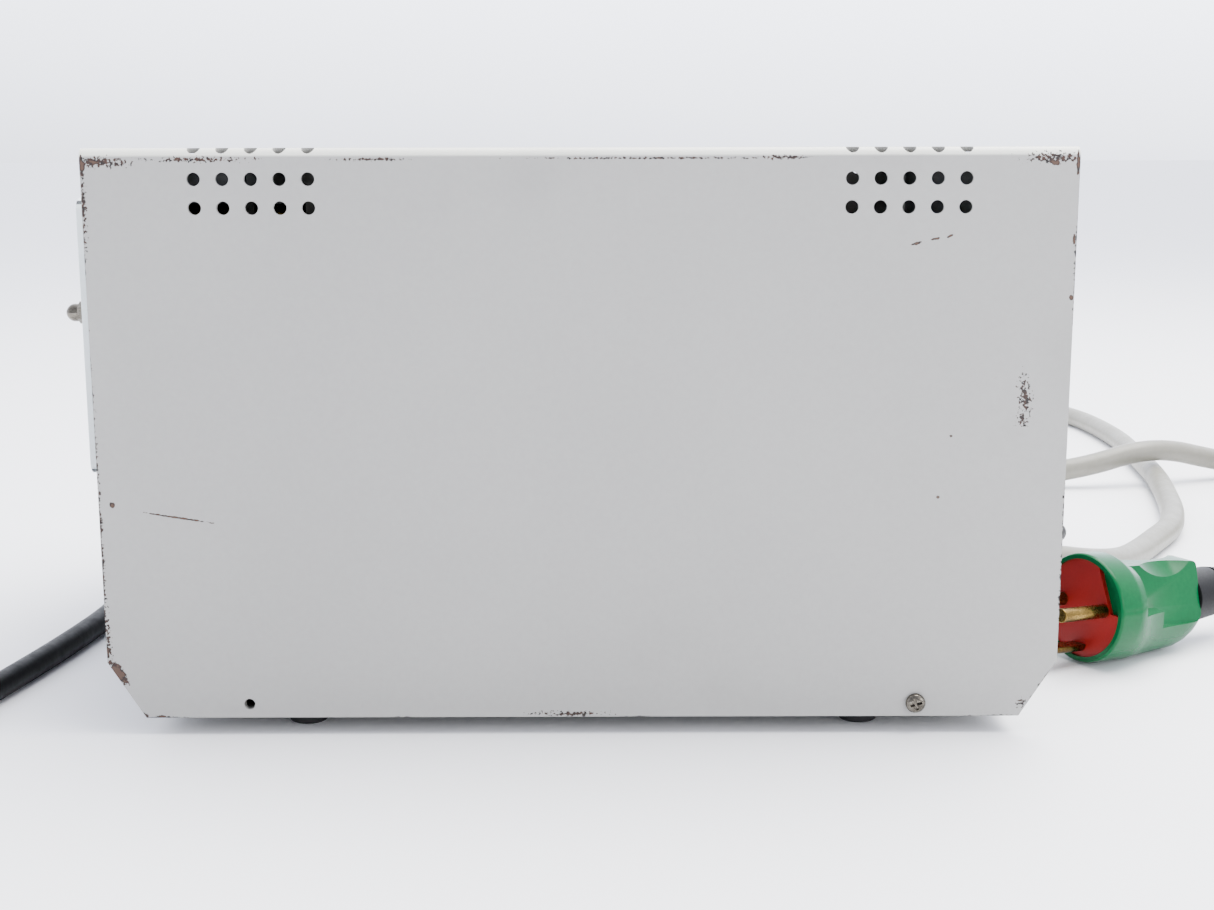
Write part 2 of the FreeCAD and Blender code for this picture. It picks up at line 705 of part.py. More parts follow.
def gearShape(teeth, bore, start, width, centre, phase):
    """Involute spur gear, thinned at each flank for backlash, with its axis along X."""
    module = size("gearModule")
    pressure = math.radians(20)
    thinning = 0.12
    pitch = teeth * module / 2
    baseCircle = pitch * math.cos(pressure)
    root = pitch - 1.25 * module
    tip = pitch + 0.9 * module

    def involute(angle):
        return math.tan(angle) - angle

    def halfAngle(radius):
        slope = math.acos(min(1.0, baseCircle / radius))
        atPitch = math.pi / (2 * teeth) - thinning / pitch
        return atPitch + involute(pressure) - involute(slope)
    inner = max(root, baseCircle)
    radii = [root] + [inner + (tip - inner) * share for share in (0.05, 0.35, 0.65, 1.0)]
    points = []
    for tooth in range(int(teeth)):
        middle = math.radians(phase) + 2 * math.pi * tooth / teeth
        flank = [(radius, halfAngle(max(radius, inner))) for radius in radii]
        outline = [(radius, middle - turn) for radius, turn in flank]
        outline += [(radius, middle + turn) for radius, turn in reversed(flank)]
        points += [Vector(radius * math.cos(turn), radius * math.sin(turn), 0) for radius, turn in outline]
    points.append(points[0])
    blank = Part.Face(Part.makePolygon(points)).extrude(Vector(0, 0, width))
    gear = blank.cut(Part.makeCylinder(bore, width))
    gear.Placement = Placement(Vector(start, centre[0], centre[1]), facingX)
    return gear


def buildDrive():
    """Open gear stage behind the front panel, with the motor on its rear plate."""
    spread = (size("wheelTeeth") + size("pinionTeeth")) * size("gearModule") / 2
    motorZ = "headZ - (wheelTeeth + pinionTeeth) * gearModule / 2"
    plates = []
    for step, start in enumerate(("-112", "-92")):
        plate = box("GearPlate%dBox" % step, (start, "headY - 45", "42"), ("3", "90", "118"))
        bores = [rod("GearPlate%dShaft" % step, (start, "headY", "headZ"), "shaftRadius + runningGap", "3"),
                 rod("GearPlate%dMotor" % step, (start, "headY", motorZ), "motorShaft + runningGap", "3")]
        plates.append(cutAll("GearPlate%d" % step, plate, bores))
    keep(group("GearPlates", plates), "gear_plates")
    pillars = []
    for y in ("headY - 40", "headY + 40"):
        for z in ("56", "154"):
            for start, length in ((frontFace + " + sheet", "-112 - sheet - (%s)" % frontFace), ("-109", "17")):
                pillars.append(rod("Pillar%d" % len(pillars), (start, y, z), "4", length))
    keep(group("GearPillars", pillars), "gear_pillars")
    gears = (("OutputGear", "wheelTeeth", "shaftRadius", -104.0, 7.0, 0.0, 0.0, "output_gear"),
             ("MotorPinion", "pinionTeeth", "motorShaft", -105.0, 9.0, spread, 6.0, "motor_pinion"))
    for name, teeth, bore, start, width, drop, phase, label in gears:
        feature = doc.addObject("Part::Feature", name)
        centre = (size("headY"), size("headZ") - drop)
        feature.Shape = gearShape(size(teeth), size(bore), start, width, centre, phase)
        keep(feature, label)
    keep(rod("MotorShaft", ("-112", "headY", motorZ), "motorShaft", "84"), "motor_shaft")
    can = ring("GearMotor", ("-89", "headY", motorZ), "motorRadius", "motorShaft + runningGap", "55")
    keep(can, "gear_motor")


def buildKnob():
    pot = fuse("PotWhole", [
        rod("PotCan", (frontFace + " + sheet", "knobY", "controlZ"), "11", "12"),
        rod("PotBush", (frontFace + " - 3", "knobY", "controlZ"), "3.6", "8")])
    bore = rod("PotBore", (frontFace + " - 3", "knobY", "controlZ"), "3 + runningGap", "10")
    keep(cut("SpeedPot", pot, bore), "speed_pot")
    back = frontFace + " - 3.5"
    knob = fuse("SpeedKnob", [
        rod("KnobSkirt", (back + " - 3", "knobY", "controlZ"), "14.5", "3"),
        cone("KnobGrip", (back + " - 14", "knobY", "controlZ"), "10.5", "11.5", "11"),
        rod("KnobSpindle", (back, "knobY", "controlZ"), "3", "9")])
    keep(knob, "speed_knob")


def buildSwitches():
    """Power rocker, direction toggle and prime button, each in its own housing."""
    low = (frontFace + " - 2", "rockerY - 7.5", "controlZ - 11")
    housing = fuse("RockerHousing", [
        box("RockerFlange", low, ("2", "15", "22")),
        box("RockerCase", (frontFace, "rockerY - 6.4", "controlZ - 9.6"), ("17", "12.8", "19.2"))])
    cavity = box("RockerCavity", (frontFace + " - 2", "rockerY - 5.5", "controlZ - 8.7"), ("16", "11", "17.4"))
    keep(cut("PowerSwitch", housing, cavity), "power_switch")
    barrel = rod("RockerBarrel", (frontFace + " + 3", "rockerY - 5.2", "controlZ"), "8.4", "10.4", "Y")
    front = box("RockerFront", (frontFace + " - 5", "rockerY - 6", "controlZ - 9"), ("16", "12", "18"))
    keep(common("PowerRocker", [barrel, front]), "power_rocker")

    inside = frontFace + " + sheet"
    toggleCase = fuse("ToggleCase", [
        box("ToggleBox", (inside, "toggleY - 6.5", "controlZ - 6.5"), ("13", "13", "13")),
        rod("ToggleBush", (frontFace + " - 7", "toggleY", "controlZ"), "3", "9"),
        rod("ToggleNut", (frontFace + " - 2", "toggleY", "controlZ"), "5", "2")])
    hollow = rod("ToggleHollow", (frontFace + " - 7", "toggleY", "controlZ"), "2.5", "8")
    keep(cut("DirectionSwitch", toggleCase, hollow), "direction_switch")
    lever = fuse("DirectionToggle", [
        rod("TogglePivot", (frontFace + " - 4", "toggleY - 1.2", "controlZ"), "2.1", "2.4", "Y"),
        rod("ToggleStem", (frontFace + " - 17", "toggleY", "controlZ"), "1.3", "13"),
        ball("ToggleTip", (frontFace + " - 17", "toggleY", "controlZ"), "2.3")])
    keep(lever, "direction_toggle")

    primeCase = fuse("PrimeCase", [
        rod("PrimeFlange", (frontFace + " - 3", "buttonY", "controlZ"), "9", "3"),
        rod("PrimeBody", (frontFace, "buttonY", "controlZ"), "6", "16")])
    well = rod("PrimeWell", (frontFace + " - 3", "buttonY", "controlZ"), "5", "15")
    keep(cut("PrimeSwitch", primeCase, well), "prime_switch")
    button = rod("PrimeButton", (frontFace + " - 7", "buttonY", "controlZ"), "4.7", "14")
    keep(button, "prime_button")
    lamp = fuse("PowerLamp", [
        rod("LampBody", (frontFace, "rockerY", "lampZ"), "3", "12"),
        rod("LampFlange", (frontFace + " - 1.2", "rockerY", "lampZ"), "4.2", "1.2"),
        common("LampLens", [ball("LampDome", (frontFace, "rockerY", "lampZ"), "3.6"),
                            rod("LampReach", (frontFace + " - 4", "rockerY", "lampZ"), "3.6", "4")])])
    keep(lamp, "power_lamp")


def buildElectrics():
    """Transformer, control board and fuse holder inside the case."""
    floor = "footHeight + sheet"
    core = box("CoreBlock", ("42", "-65", floor), ("66", "30", "55"))
    windows = [box("CoreWindow%d" % step, (x, "-66", floor + " + 11"), ("11", "32", "33"))
               for step, x in enumerate(("53", "86"))]
    keep(cutAll("TransformerCore", core, windows), "transformer_core")
    winding = box("WindingBlock", ("53.4", "-75", floor + " + 11.3"), ("43.2", "50", "32.4"))
    limb = box("WindingHole", ("63.9", "-65.1", floor), ("22.2", "30.2", "60"))
    keep(cut("TransformerWinding", winding, limb), "transformer_winding")

    boardZ = floor + " + 14"
    keep(box("ControlBoard", ("-20", "5", boardZ), ("100", "90", "1.6")), "control_board")
    posts = [rod("Standoff%d" % (2 * row + step), (x, y, floor), "3", "14", "Z")
             for row, x in enumerate(("-15", "75")) for step, y in enumerate(("10", "90"))]
    keep(group("Standoffs", posts), "board_standoffs")
    onBoard = boardZ + " + 1.6"
    parts = [rod("Capacitor%d" % step, (x, "78", onBoard), "8", "26", "Z") for step, x in enumerate(("8", "28"))]
    parts += [box("Chip%d" % step, (x, "30", onBoard), ("18", "8", "4")) for step, x in enumerate(("-5", "20", "45"))]
    parts.append(box("Terminals", ("35", "84", onBoard), ("32", "9", "11")))
    keep(group("BoardComponents", parts), "board_components")
    fins = [box("SinkFin%d" % step, (str(-8 + 9 * step), "48", onBoard), ("2", "14", "28")) for step in range(6)]
    fins.append(box("SinkBack", ("-8", "45", onBoard), ("47", "3", "28")))
    keep(fuse("HeatSink", fins), "heat_sink")

    rear = "coverLength / 2 - cornerRun"
    fuseHolder = fuse("FuseHolder", [
        rod("FuseBody", (rear + " - 24", "0", "controlZ"), "6.5", "24"),
        rod("FuseFlange", (rear, "0", "controlZ"), "8.5", "2"),
        rod("FuseCap", (rear + " + 2", "0", "controlZ"), "5.8", "7")])
    keep(fuseHolder, "fuse_holder")


def buildGlands():
    """Each lead's gland: locknut inside, flange outside and a tapered strain relief."""
    glands = []
    for name, y in (("Mains", "mainsY"), ("Control", "controlY")):
        glands.append(fuse(name + "Gland", [
            rod(name + "Locknut", (rearInside + " - 4", y, "glandZ"), "10.5", "4"),
            rod(name + "Neck", (rearInside, y, "glandZ"), "7.9", "sheet"),
            rod(name + "Flange", (rearInside + " + sheet", y, "glandZ"), "10.5", "4"),
            cone(name + "Relief", (rearInside + " + sheet + 4", y, "glandZ"), "9.0", "6.2",
                 "glandEnd - (%s) - sheet - 4" % rearInside)]))
    keep(group("CordGlands", glands), "cord_glands")


# Routes of the two leads, in millimetres, from the gland outwards.
mainsToCoil = [
    (153, 88, 19), (171, 88.5, 18), (190, 96, 15), (204, 114, 11), (208, 137, 7.5),
    (200, 161, 5), (182, 178, 4.4), (157, 184, 4.3), (129, 181, 4.3), (98, 171, 4.3),
    (62, 160, 4.3), (20, 156, 4.3)]
mainsCoilCentre = (20, 203)
mainsCoilRadius = 47.0
mainsCoilTurns = 2
mainsFromCoil = [
    (20, 156, 21.8), (-10, 156.5, 20), (-42, 156, 10.5), (-75, 152, 4.8), (-112, 143, 4.3),
    (-148, 124, 4.3), (-170, 92, 4.3), (-179, 52, 4.3), (-178.5, 12, 4.3), (-182.5, -25, 4.3),
    (-188, -60, 4.3), (-195.5, -100, 4.3), (-201, -143, 4.3), (-197, -189, 4.3), (-175, -231, 4.3),
    (-136, -260, 4.3), (-83, -272, 4.3), (-25, -275, 4.3), (33, -273, 4.3), (91, -269, 4.3),
    (149, -261, 4.3), (205, -244, 4.3), (257, -216, 4.3), (301, -177, 4.3), (330, -130, 4.3),
    (346, -80, 4.3), (351, -38, 4.3), (347, -7, 4.4), (331, 16, 5), (306, 27, 7.5), (277, 22.5, 12)]
controlToCoil = [
    (153, 45, 19), (179, 45.5, 17.5), (202, 56, 12.5), (220, 77, 7.8), (235, 101, 5.8),
    (249, 124, 5.6), (265, 149, 5.6), (277, 183, 5.6), (287, 224, 5.6), (297, 270, 5.6),
    (304, 322, 5.6), (311, 375, 5.6), (312, 424, 5.6), (309, 466, 5.6), (296, 503, 5.6),
    (271, 530, 5.6), (237, 539, 5.6), (204, 528, 5.6), (182, 501, 5.6), (173, 465, 5.6),
    (172, 426, 5.6), (176, 389, 5.6), (184, 357, 5.6), (188.5, 329, 5.6), (195, 302.5, 5.6),
    (211, 281, 5.7), (235, 268.8, 7), (262, 267.8, 12), (286, 273, 18.4), (306, 278.5, 18.4),
    (328, 287, 12.5), (350, 295, 7.4), (374, 299.8, 5.8), (400, 299, 5.6)]
controlCoilCentre = (400, 238.5)
controlCoilRadius = 60.5
controlCoilTurns = 1.5
controlFromCoil = [(400, 178, 22.3), (378, 177.3, 20.5), (356, 176, 13.5), (336, 174, 9)]


def plugPlacement():
    """Plug frame: its own +Z runs from the face back to the boot."""
    lean = Rotation(Vector(0, 1, 0), 90 + size("plugTilt"))
    turn = Rotation(Vector(0, 0, 1), size("plugTurn"))
    return Placement(Vector(size("plugX"), size("plugY"), size("plugZ")), turn.multiply(lean))


def cornerArc(before, corner, after):
    """Radius and tangent length of the arc that rounds one corner of a route."""
    arriving = (corner - before).normalize()
    leaving = (after - corner).normalize()
    turn = math.acos(max(-1.0, min(1.0, arriving.dot(leaving))))
    tangent = 0.45 * min((corner - before).Length, (after - corner).Length)
    return tangent / math.tan(turn / 2), tangent, arriving, leaving, turn


def cordShape(name, route, radius):
    """Round lead swept along straight runs joined by tangent arcs."""
    points = [Vector(*point) for point in route]
    edges = []
    start = points[0]
    radii = []
    for before, corner, after in zip(points, points[1:], points[2:]):
        bend, tangent, arriving, leaving, turn = cornerArc(before, corner, after)
        radii.append(round(bend))
        arcStart = corner - arriving * tangent
        arcEnd = corner + leaving * tangent
        inward = (leaving - arriving).normalize()
        middle = corner + inward * (bend / math.cos(turn / 2) - bend)
        edges.append(Part.LineSegment(start, arcStart).toShape())
        edges.append(Part.Arc(arcStart, middle, arcEnd).toShape())
        start = arcEnd
    edges.append(Part.LineSegment(start, points[-1]).toShape())
    path = Part.Wire(edges)
    section = Part.Wire([Part.makeCircle(radius, points[0], points[1] - points[0])])
    tube = path.makePipeShell([section], True, False)
    expected = math.pi * radius ** 2 * path.Length
    print("%s: length %.0f mm, volume ratio %.4f, bend radii %s"
          % (name, path.Length, tube.Volume / expected, radii))
    return tube, path.Length


def coilShape(centre, radius, cordRadius, turns):
    """Outer shape of a round coil: a ring as high as its stacked turns."""
    height = 2 * cordRadius + turns * (2 * cordRadius + 0.1)
    outside = Part.makeCylinder(radius + cordRadius, height, Vector(centre[0], centre[1], 0))
    inside = Part.makeCylinder(radius - cordRadius, height, Vector(centre[0], centre[1], 0))
    return outside.cut(inside)


def addShape(name, label, shape, placement=None):
    feature = doc.addObject("Part::Feature", name)
    feature.Shape = shape
    if placement is not None:
        feature.Placement = placement
    keep(feature, label)


def buildMainsLead():
    radius = size("mainsRadius")
    boot = plugPlacement()
    bootEnd = boot.multVec(Vector(-size("plugRise"), 0, size("plugLength") + size("bootLength")))
    bootWay = boot.Rotation.multVec(Vector(0, 0, 1))
    route = mainsFromCoil + [tuple(bootEnd + bootWay * 14), tuple(bootEnd)]
    first, firstLength = cordShape("mains lead to coil", mainsToCoil, radius)
    second, secondLength = cordShape("mains lead to plug", route, radius)
    print("mains lead ends at", [tuple(round(number, 1) for number in point) for point in route[-2:]])
    addShape("MainsCord", "mains_cord", Part.makeCompound([first, second]))
    coil = coilShape(mainsCoilCentre, mainsCoilRadius, radius, mainsCoilTurns)
    addShape("MainsCoil", "mains_coil", coil)
    coiled = mainsCoilTurns * 2 * math.pi * mainsCoilRadius
    print("mains lead total %.0f mm" % (firstLength + secondLength + coiled))


def buildControlLead():
    radius = size("controlRadius")
    first, firstLength = cordShape("control lead to coil", controlToCoil, radius)
    second, secondLength = cordShape("control lead to connector", controlFromCoil, radius)
    addShape("ControlCable", "control_cable", Part.makeCompound([first, second]))
    coil = coilShape(controlCoilCentre, controlCoilRadius, radius, controlCoilTurns)
    addShape("ControlCoil", "control_coil", coil)
    way = Vector(*controlFromCoil[-1]) - Vector(*controlFromCoil[-2])
    shell = Part.makeCylinder(8.4, 24).fuse(Part.makeCylinder(7.4, 36))
    level = Vector(way.x, way.y, 0)
    shell.Placement = Placement(Vector(*controlFromCoil[-1]), Rotation(Vector(0, 0, 1), level))
    addShape("ControlConnector", "control_connector", shell.removeSplitter())
    coiled = controlCoilTurns * 2 * math.pi * controlCoilRadius
    print("control lead total %.0f mm" % (firstLength + secondLength + coiled))


def buildPlug():
    """Rewirable three-pin plug lying on its rim, with a boot behind its grip."""
    frame = plugPlacement()
    radius = size("plugRadius")
    length = size("plugLength")
    rise = size("plugRise")
    rimDepth = 12.0
    gripStart = 24.0
    gripHigh, gripWide = 21.0, 20.0
    insertRadius = radius - 2.0
    insertDepth = 4.0
    recessDepth = 1.0
    flatEnd, flatLowHalf = -0.5, 12.5
    flatTop, flatTopHalf = -13.0, 6.8
    rim = Part.makeCylinder(radius, rimDepth)
    shoulder = Part.makeCone(radius, 11.0, 20, Vector(0, 0, rimDepth))
    gripCorner = Vector(-gripHigh / 2 - rise, -gripWide / 2, gripStart)
    grip = Part.makeBox(gripHigh, gripWide, length - gripStart, gripCorner)
    body = rim.fuse([shoulder, grip]).removeSplitter()
    insert = Part.makeCylinder(insertRadius, insertDepth)
    lean = (flatLowHalf - flatTopHalf) / (flatEnd - flatTop)
    outerHalf = flatLowHalf - lean * (flatEnd + radius)
    outline = [Vector(flatEnd, -flatLowHalf, -1), Vector(flatEnd, -radius, -1),
               Vector(-radius, -radius, -1), Vector(-radius, -outerHalf, -1)]
    flat = Part.Face(Part.makePolygon(outline + outline[:1])).extrude(Vector(0, 0, 2 * insertDepth))
    insert = insert.cut(flat)
    body = body.cut(insert)
    linePin, lineSpan, lineLength = 2.4, 9.5, 19.0
    earthPin, earthDrop, earthLength = 3.0, 12.4, 16.0
    pins = []
    for across in (-lineSpan, lineSpan):
        pins.append(Part.makeCylinder(linePin, lineLength + insertDepth, Vector(-1, across, -lineLength)))
    earth = Part.makeCylinder(earthPin, earthLength + insertDepth, Vector(earthDrop, 0, -earthLength))
    pins.append(earth.cut(Part.makeBox(2 * earthPin, 4 * earthPin, 2 * earthLength,
                                       Vector(earthDrop - 2 * earthPin, -2 * earthPin, -earthLength - 1))))
    for pin in pins:
        insert = insert.cut(pin)
    insert = insert.cut(Part.makeCylinder(radius, recessDepth))
    addShape("PlugBody", "plug_body", body, frame)
    addShape("PlugFace", "plug_face", insert, frame)
    addShape("PlugPins", "plug_pins", Part.makeCompound(pins), frame)
    boot = Part.makeCone(9.0, 6.2, size("bootLength"), Vector(-rise, 0, length))
    addShape("PlugBoot", "plug_boot", boot, frame)


def checkAndExport():
    """Every object must have recomputed and every sub-part must be a valid solid."""
    doc.recompute()
    faults = [item.Name for item in doc.Objects if "Invalid" in item.State or "Error" in item.State]
    for item in subParts:
        shape = item.Shape
        if shape.isNull() or not shape.isValid() or not shape.Solids:
            faults.append(item.Label)
    if faults:
        raise RuntimeError("faulty objects: " + ", ".join(faults))
    os.makedirs("parts", exist_ok=True)
    for item in subParts:
        item.Shape.exportStep("parts/%s.step" % item.Label)
    print("%d sub-parts written" % len(subParts))


buildCaseCover()
buildChassisTray()
buildPanels()
buildFeet()
buildScrews()
buildHeadBase()
buildHeadBlocks()
buildCamLever()
buildTube()
buildHeadCover()
buildRotor()
buildShaft()
buildDrive()
buildKnob()
buildSwitches()
buildElectrics()
buildGlands()
buildMainsLead()
buildControlLead()
buildPlug()
checkAndExport()
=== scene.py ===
import json
import math
import bmesh
import bpy
from mathutils import Matrix, Vector


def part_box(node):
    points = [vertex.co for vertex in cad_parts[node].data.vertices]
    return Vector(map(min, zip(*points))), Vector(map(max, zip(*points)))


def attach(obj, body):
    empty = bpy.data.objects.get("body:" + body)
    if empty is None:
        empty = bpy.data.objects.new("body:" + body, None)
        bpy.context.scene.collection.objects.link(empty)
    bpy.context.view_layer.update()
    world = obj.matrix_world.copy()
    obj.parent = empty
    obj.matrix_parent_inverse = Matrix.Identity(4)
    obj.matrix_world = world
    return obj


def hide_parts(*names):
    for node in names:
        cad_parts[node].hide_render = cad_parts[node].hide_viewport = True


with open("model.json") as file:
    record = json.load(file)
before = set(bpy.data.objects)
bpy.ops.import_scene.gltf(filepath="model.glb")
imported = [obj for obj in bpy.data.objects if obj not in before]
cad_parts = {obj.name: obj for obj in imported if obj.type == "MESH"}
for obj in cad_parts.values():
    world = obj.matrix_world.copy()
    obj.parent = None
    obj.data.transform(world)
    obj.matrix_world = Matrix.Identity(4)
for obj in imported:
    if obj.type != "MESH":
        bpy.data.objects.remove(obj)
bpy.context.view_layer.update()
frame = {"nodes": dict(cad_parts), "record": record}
cadNodes = frame["nodes"]
bodyOf = {node: body for body, names in frame["record"]["behaviour"]["bodies"].items() for node in names}
mm = 0.001


# small tools

def deselectAll():
    if bpy.context.mode != "OBJECT":
        bpy.ops.object.mode_set(mode="OBJECT")
    bpy.ops.object.select_all(action="DESELECT")


def makeActive(piece):
    deselectAll()
    piece.select_set(True)
    bpy.context.view_layer.objects.active = piece


def bakePlace(piece):
    makeActive(piece)
    bpy.ops.object.transform_apply(location=True, rotation=True, scale=True)


def modify(piece, kind, **settings):
    makeActive(piece)
    modifier = piece.modifiers.new(kind.lower(), kind)
    for name, value in settings.items():
        setattr(modifier, name, value)
    bpy.ops.object.modifier_apply(modifier=modifier.name)


def smooth(piece, degrees=35):
    makeActive(piece)
    bpy.ops.object.shade_smooth_by_angle(angle=math.radians(degrees))
    modify(piece, "WEIGHTED_NORMAL", keep_sharp=True)


def moveTo(piece, place):
    piece.data.transform(place)
    piece.data.update()
    return piece


def joined(pieces, name):
    deselectAll()
    for piece in pieces:
        piece.select_set(True)
    bpy.context.view_layer.objects.active = pieces[0]
    if len(pieces) > 1:
        bpy.ops.object.join()
    pieces[0].name = name
    return pieces[0]


def wear(piece, node, material, replace=True):
    # gives a finished piece its material slot and its body, and hides the CAD node it stands for unless told not to
    piece.data.materials.clear()
    piece.data.materials.append(material)
    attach(piece, bodyOf[node])
    if replace:
        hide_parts(node)
    return piece


def softened(node, width, material, segments=2, limit=32, split=0.6):
    # a merged copy of a CAD piece with its sharp edges rounded, as machined or moulded parts have
    piece = bpy.data.objects.new(node.title().replace("_", ""), cadNodes[node].data.copy())
    piece.name = piece.name[0].lower() + piece.name[1:]
    bpy.context.scene.collection.objects.link(piece)
    makeActive(piece)
    bpy.ops.mesh.customdata_custom_splitnormals_clear()
    bpy.ops.object.mode_set(mode="EDIT")
    bpy.ops.mesh.select_all(action="SELECT")
    bpy.ops.mesh.remove_doubles(threshold=0.002 * mm)
    bpy.ops.mesh.dissolve_limited(angle_limit=math.radians(split))
    bpy.ops.object.mode_set(mode="OBJECT")
    modify(piece, "BEVEL", width=width * mm, segments=segments, limit_method="ANGLE",
           angle_limit=math.radians(limit), use_clamp_overlap=True, miter_outer="MITER_ARC")
    smooth(piece, limit)
    return wear(piece, node, material)


def loft(name, sections, steps=64, ripple=0, depth=0.0):
    # a round or squared bar grown by extrusion along Z; a section is (along, radius)
    # or (along, up, down, half width, squareness of the upper half), in millimetres
    deselectAll()
    bpy.ops.mesh.primitive_circle_add(vertices=steps, radius=mm, fill_type="NGON")
    piece = bpy.context.object
    piece.name = name
    bpy.ops.object.mode_set(mode="EDIT")
    for count, section in enumerate(sections):
        along = section[0]
        up, down, wide, square = section[1:] if len(section) == 5 else (section[1], section[1], section[1], 2.0)
        if count:
            bpy.ops.mesh.extrude_region_move(TRANSFORM_OT_translate={"value": (0, 0, 0.5 * mm)})
        edit = bmesh.from_edit_mesh(piece.data)
        for vertex in [v for v in edit.verts if v.select]:
            turn = math.atan2(vertex.co.y, vertex.co.x)
            upper = math.cos(turn) < 0
            reach = up if upper else down
            power = square if upper else min(square, 2.3)
            radius = (abs(math.cos(turn) / reach) ** power + abs(math.sin(turn) / wide) ** power) ** (-1 / power)
            radius *= 1 - depth * (0.5 + 0.5 * math.cos(ripple * turn)) if ripple else 1
            vertex.co = Vector((radius * math.cos(turn), radius * math.sin(turn), along)) * mm
        bmesh.update_edit_mesh(piece.data)
    bpy.ops.mesh.select_all(action="SELECT")
    bpy.ops.mesh.normals_make_consistent(inside=False)
    bpy.ops.object.mode_set(mode="OBJECT")
    return piece


def block(name, size, centre):
    deselectAll()
    bpy.ops.mesh.primitive_cube_add(size=1, location=[value * mm for value in centre])
    piece = bpy.context.object
    piece.name = name
    piece.scale = [value * mm for value in size]
    bakePlace(piece)
    return piece


def carve(piece, tool, operation="DIFFERENCE"):
    modify(piece, "BOOLEAN", operation=operation, object=tool, solver="EXACT")
    bpy.data.objects.remove(tool)


# camera, floor and light

camera = {
    "place": (6.53, -601.2, 176.7),
    "lens": 50.12,
    "pitch": -10.345,
    "yaw": -0.121,
    "roll": -0.111,
}


def setCamera():
    data = bpy.data.cameras.new("sideCamera")
    data.lens = camera["lens"]
    data.sensor_width = 36
    eye = bpy.data.objects.new("sideCamera", data)
    bpy.context.scene.collection.objects.link(eye)
    turn = Matrix.Rotation(math.radians(camera["yaw"]), 4, "Z")
    tilt = Matrix.Rotation(math.radians(90 + camera["pitch"]), 4, "X")
    roll = Matrix.Rotation(math.radians(camera["roll"]), 4, "Z")
    eye.matrix_world = Matrix.Translation(Vector(camera["place"]) * mm) @ turn @ tilt @ roll
    bpy.context.scene.camera = eye


studio = {
    "floorSize": 40.0,
    "paper": "#f4f4f6",
    "sky": "#eaeefb",
    "horizon": 3.5,
    "overhead": 6.0,
    "front": 0.28,
    "left": 0.8,
    "boxes": {
        "overheadBox": {"place": (0.5, 0.2, 1.4), "target": (0.05, 0, 0), "size": (1.4, 1.2), "power": 75.0,
                        "tint": "#fffdf8"},
        "frontBox": {"place": (1.1, -1.0, 0.5), "target": (0.1, 0, 0.08), "size": (0.9, 0.7), "power": 10.0,
                     "tint": "#ffffff"},
    },
}


def toLinear(hexColour):
    channels = [int(hexColour[i:i + 2], 16) / 255 for i in (1, 3, 5)]
    return tuple(c / 12.92 if c <= 0.04045 else ((c + 0.055) / 1.055) ** 2.4 for c in channels) + (1.0,)


def addNode(tree, kind, links=None, **settings):
    node = tree.nodes.new(kind)
    for name, value in settings.items():
        setattr(node, name, value)
    for name, value in (links or {}).items():
        if isinstance(value, bpy.types.NodeSocket):
            tree.links.new(value, node.inputs[name])
        else:
            node.inputs[name].default_value = value
    return node


def softBox(name, box):
    data = bpy.data.lights.new(name, "AREA")
    data.shape = "RECTANGLE"
    data.size, data.size_y = box["size"]
    data.energy = box["power"]
    data.color = toLinear(box["tint"])[:3]
    lamp = bpy.data.objects.new(name, data)
    lamp.location = box["place"]
    lamp.rotation_euler = (Vector(box["target"]) - Vector(box["place"])).to_track_quat("-Z", "Y").to_euler()
    bpy.context.scene.collection.objects.link(lamp)


def makeSky():
    # bright overhead, a little dimmer along the horizon, darker in front of the case and to its left
    world = bpy.data.worlds.new("studioAir")
    bpy.context.scene.world = world
    world.use_nodes = True
    tree = world.node_tree
    air = tree.nodes["Background"]
    air.inputs["Color"].default_value = toLinear(studio["sky"])
    way = addNode(tree, "ShaderNodeTexCoord").outputs["Generated"]
    apart = addNode(tree, "ShaderNodeSeparateXYZ", {0: way})
    rise = addNode(tree, "ShaderNodeMapRange", {0: apart.outputs[2], 1: -0.02, 2: 0.09, 3: studio["horizon"],
                                                4: studio["overhead"]})
    depth = addNode(tree, "ShaderNodeMapRange", {0: apart.outputs[1], 1: -0.6, 2: 0.8, 3: studio["front"], 4: 1.0})
    across = addNode(tree, "ShaderNodeMapRange", {0: apart.outputs[0], 1: -0.35, 2: 0.35, 3: studio["left"],
                                                  4: 1.0})
    both = addNode(tree, "ShaderNodeMath", {0: rise.outputs[0], 1: depth.outputs[0]}, operation="MULTIPLY")
    whole = addNode(tree, "ShaderNodeMath", {0: both.outputs[0], 1: across.outputs[0]}, operation="MULTIPLY")
    tree.links.new(whole.outputs[0], air.inputs["Strength"])


def makeStudio():
    deselectAll()
    bpy.ops.mesh.primitive_plane_add(size=studio["floorSize"], location=(0, 0, 0))
    floor = bpy.context.object
    floor.name = "paperFloor"
    bakePlace(floor)
    paper = bpy.data.materials.new("matteBackdropPaper")
    paper.use_nodes = True
    shader = paper.node_tree.nodes["Principled BSDF"]
    shader.inputs["Base Color"].default_value = toLinear(studio["paper"])
    shader.inputs["Roughness"].default_value = 0.7
    floor.data.materials.append(paper)
    makeSky()
    for name, box in studio["boxes"].items():
        softBox(name, box)
    print("camera, floor and light are set")


setCamera()
makeStudio()


# materials

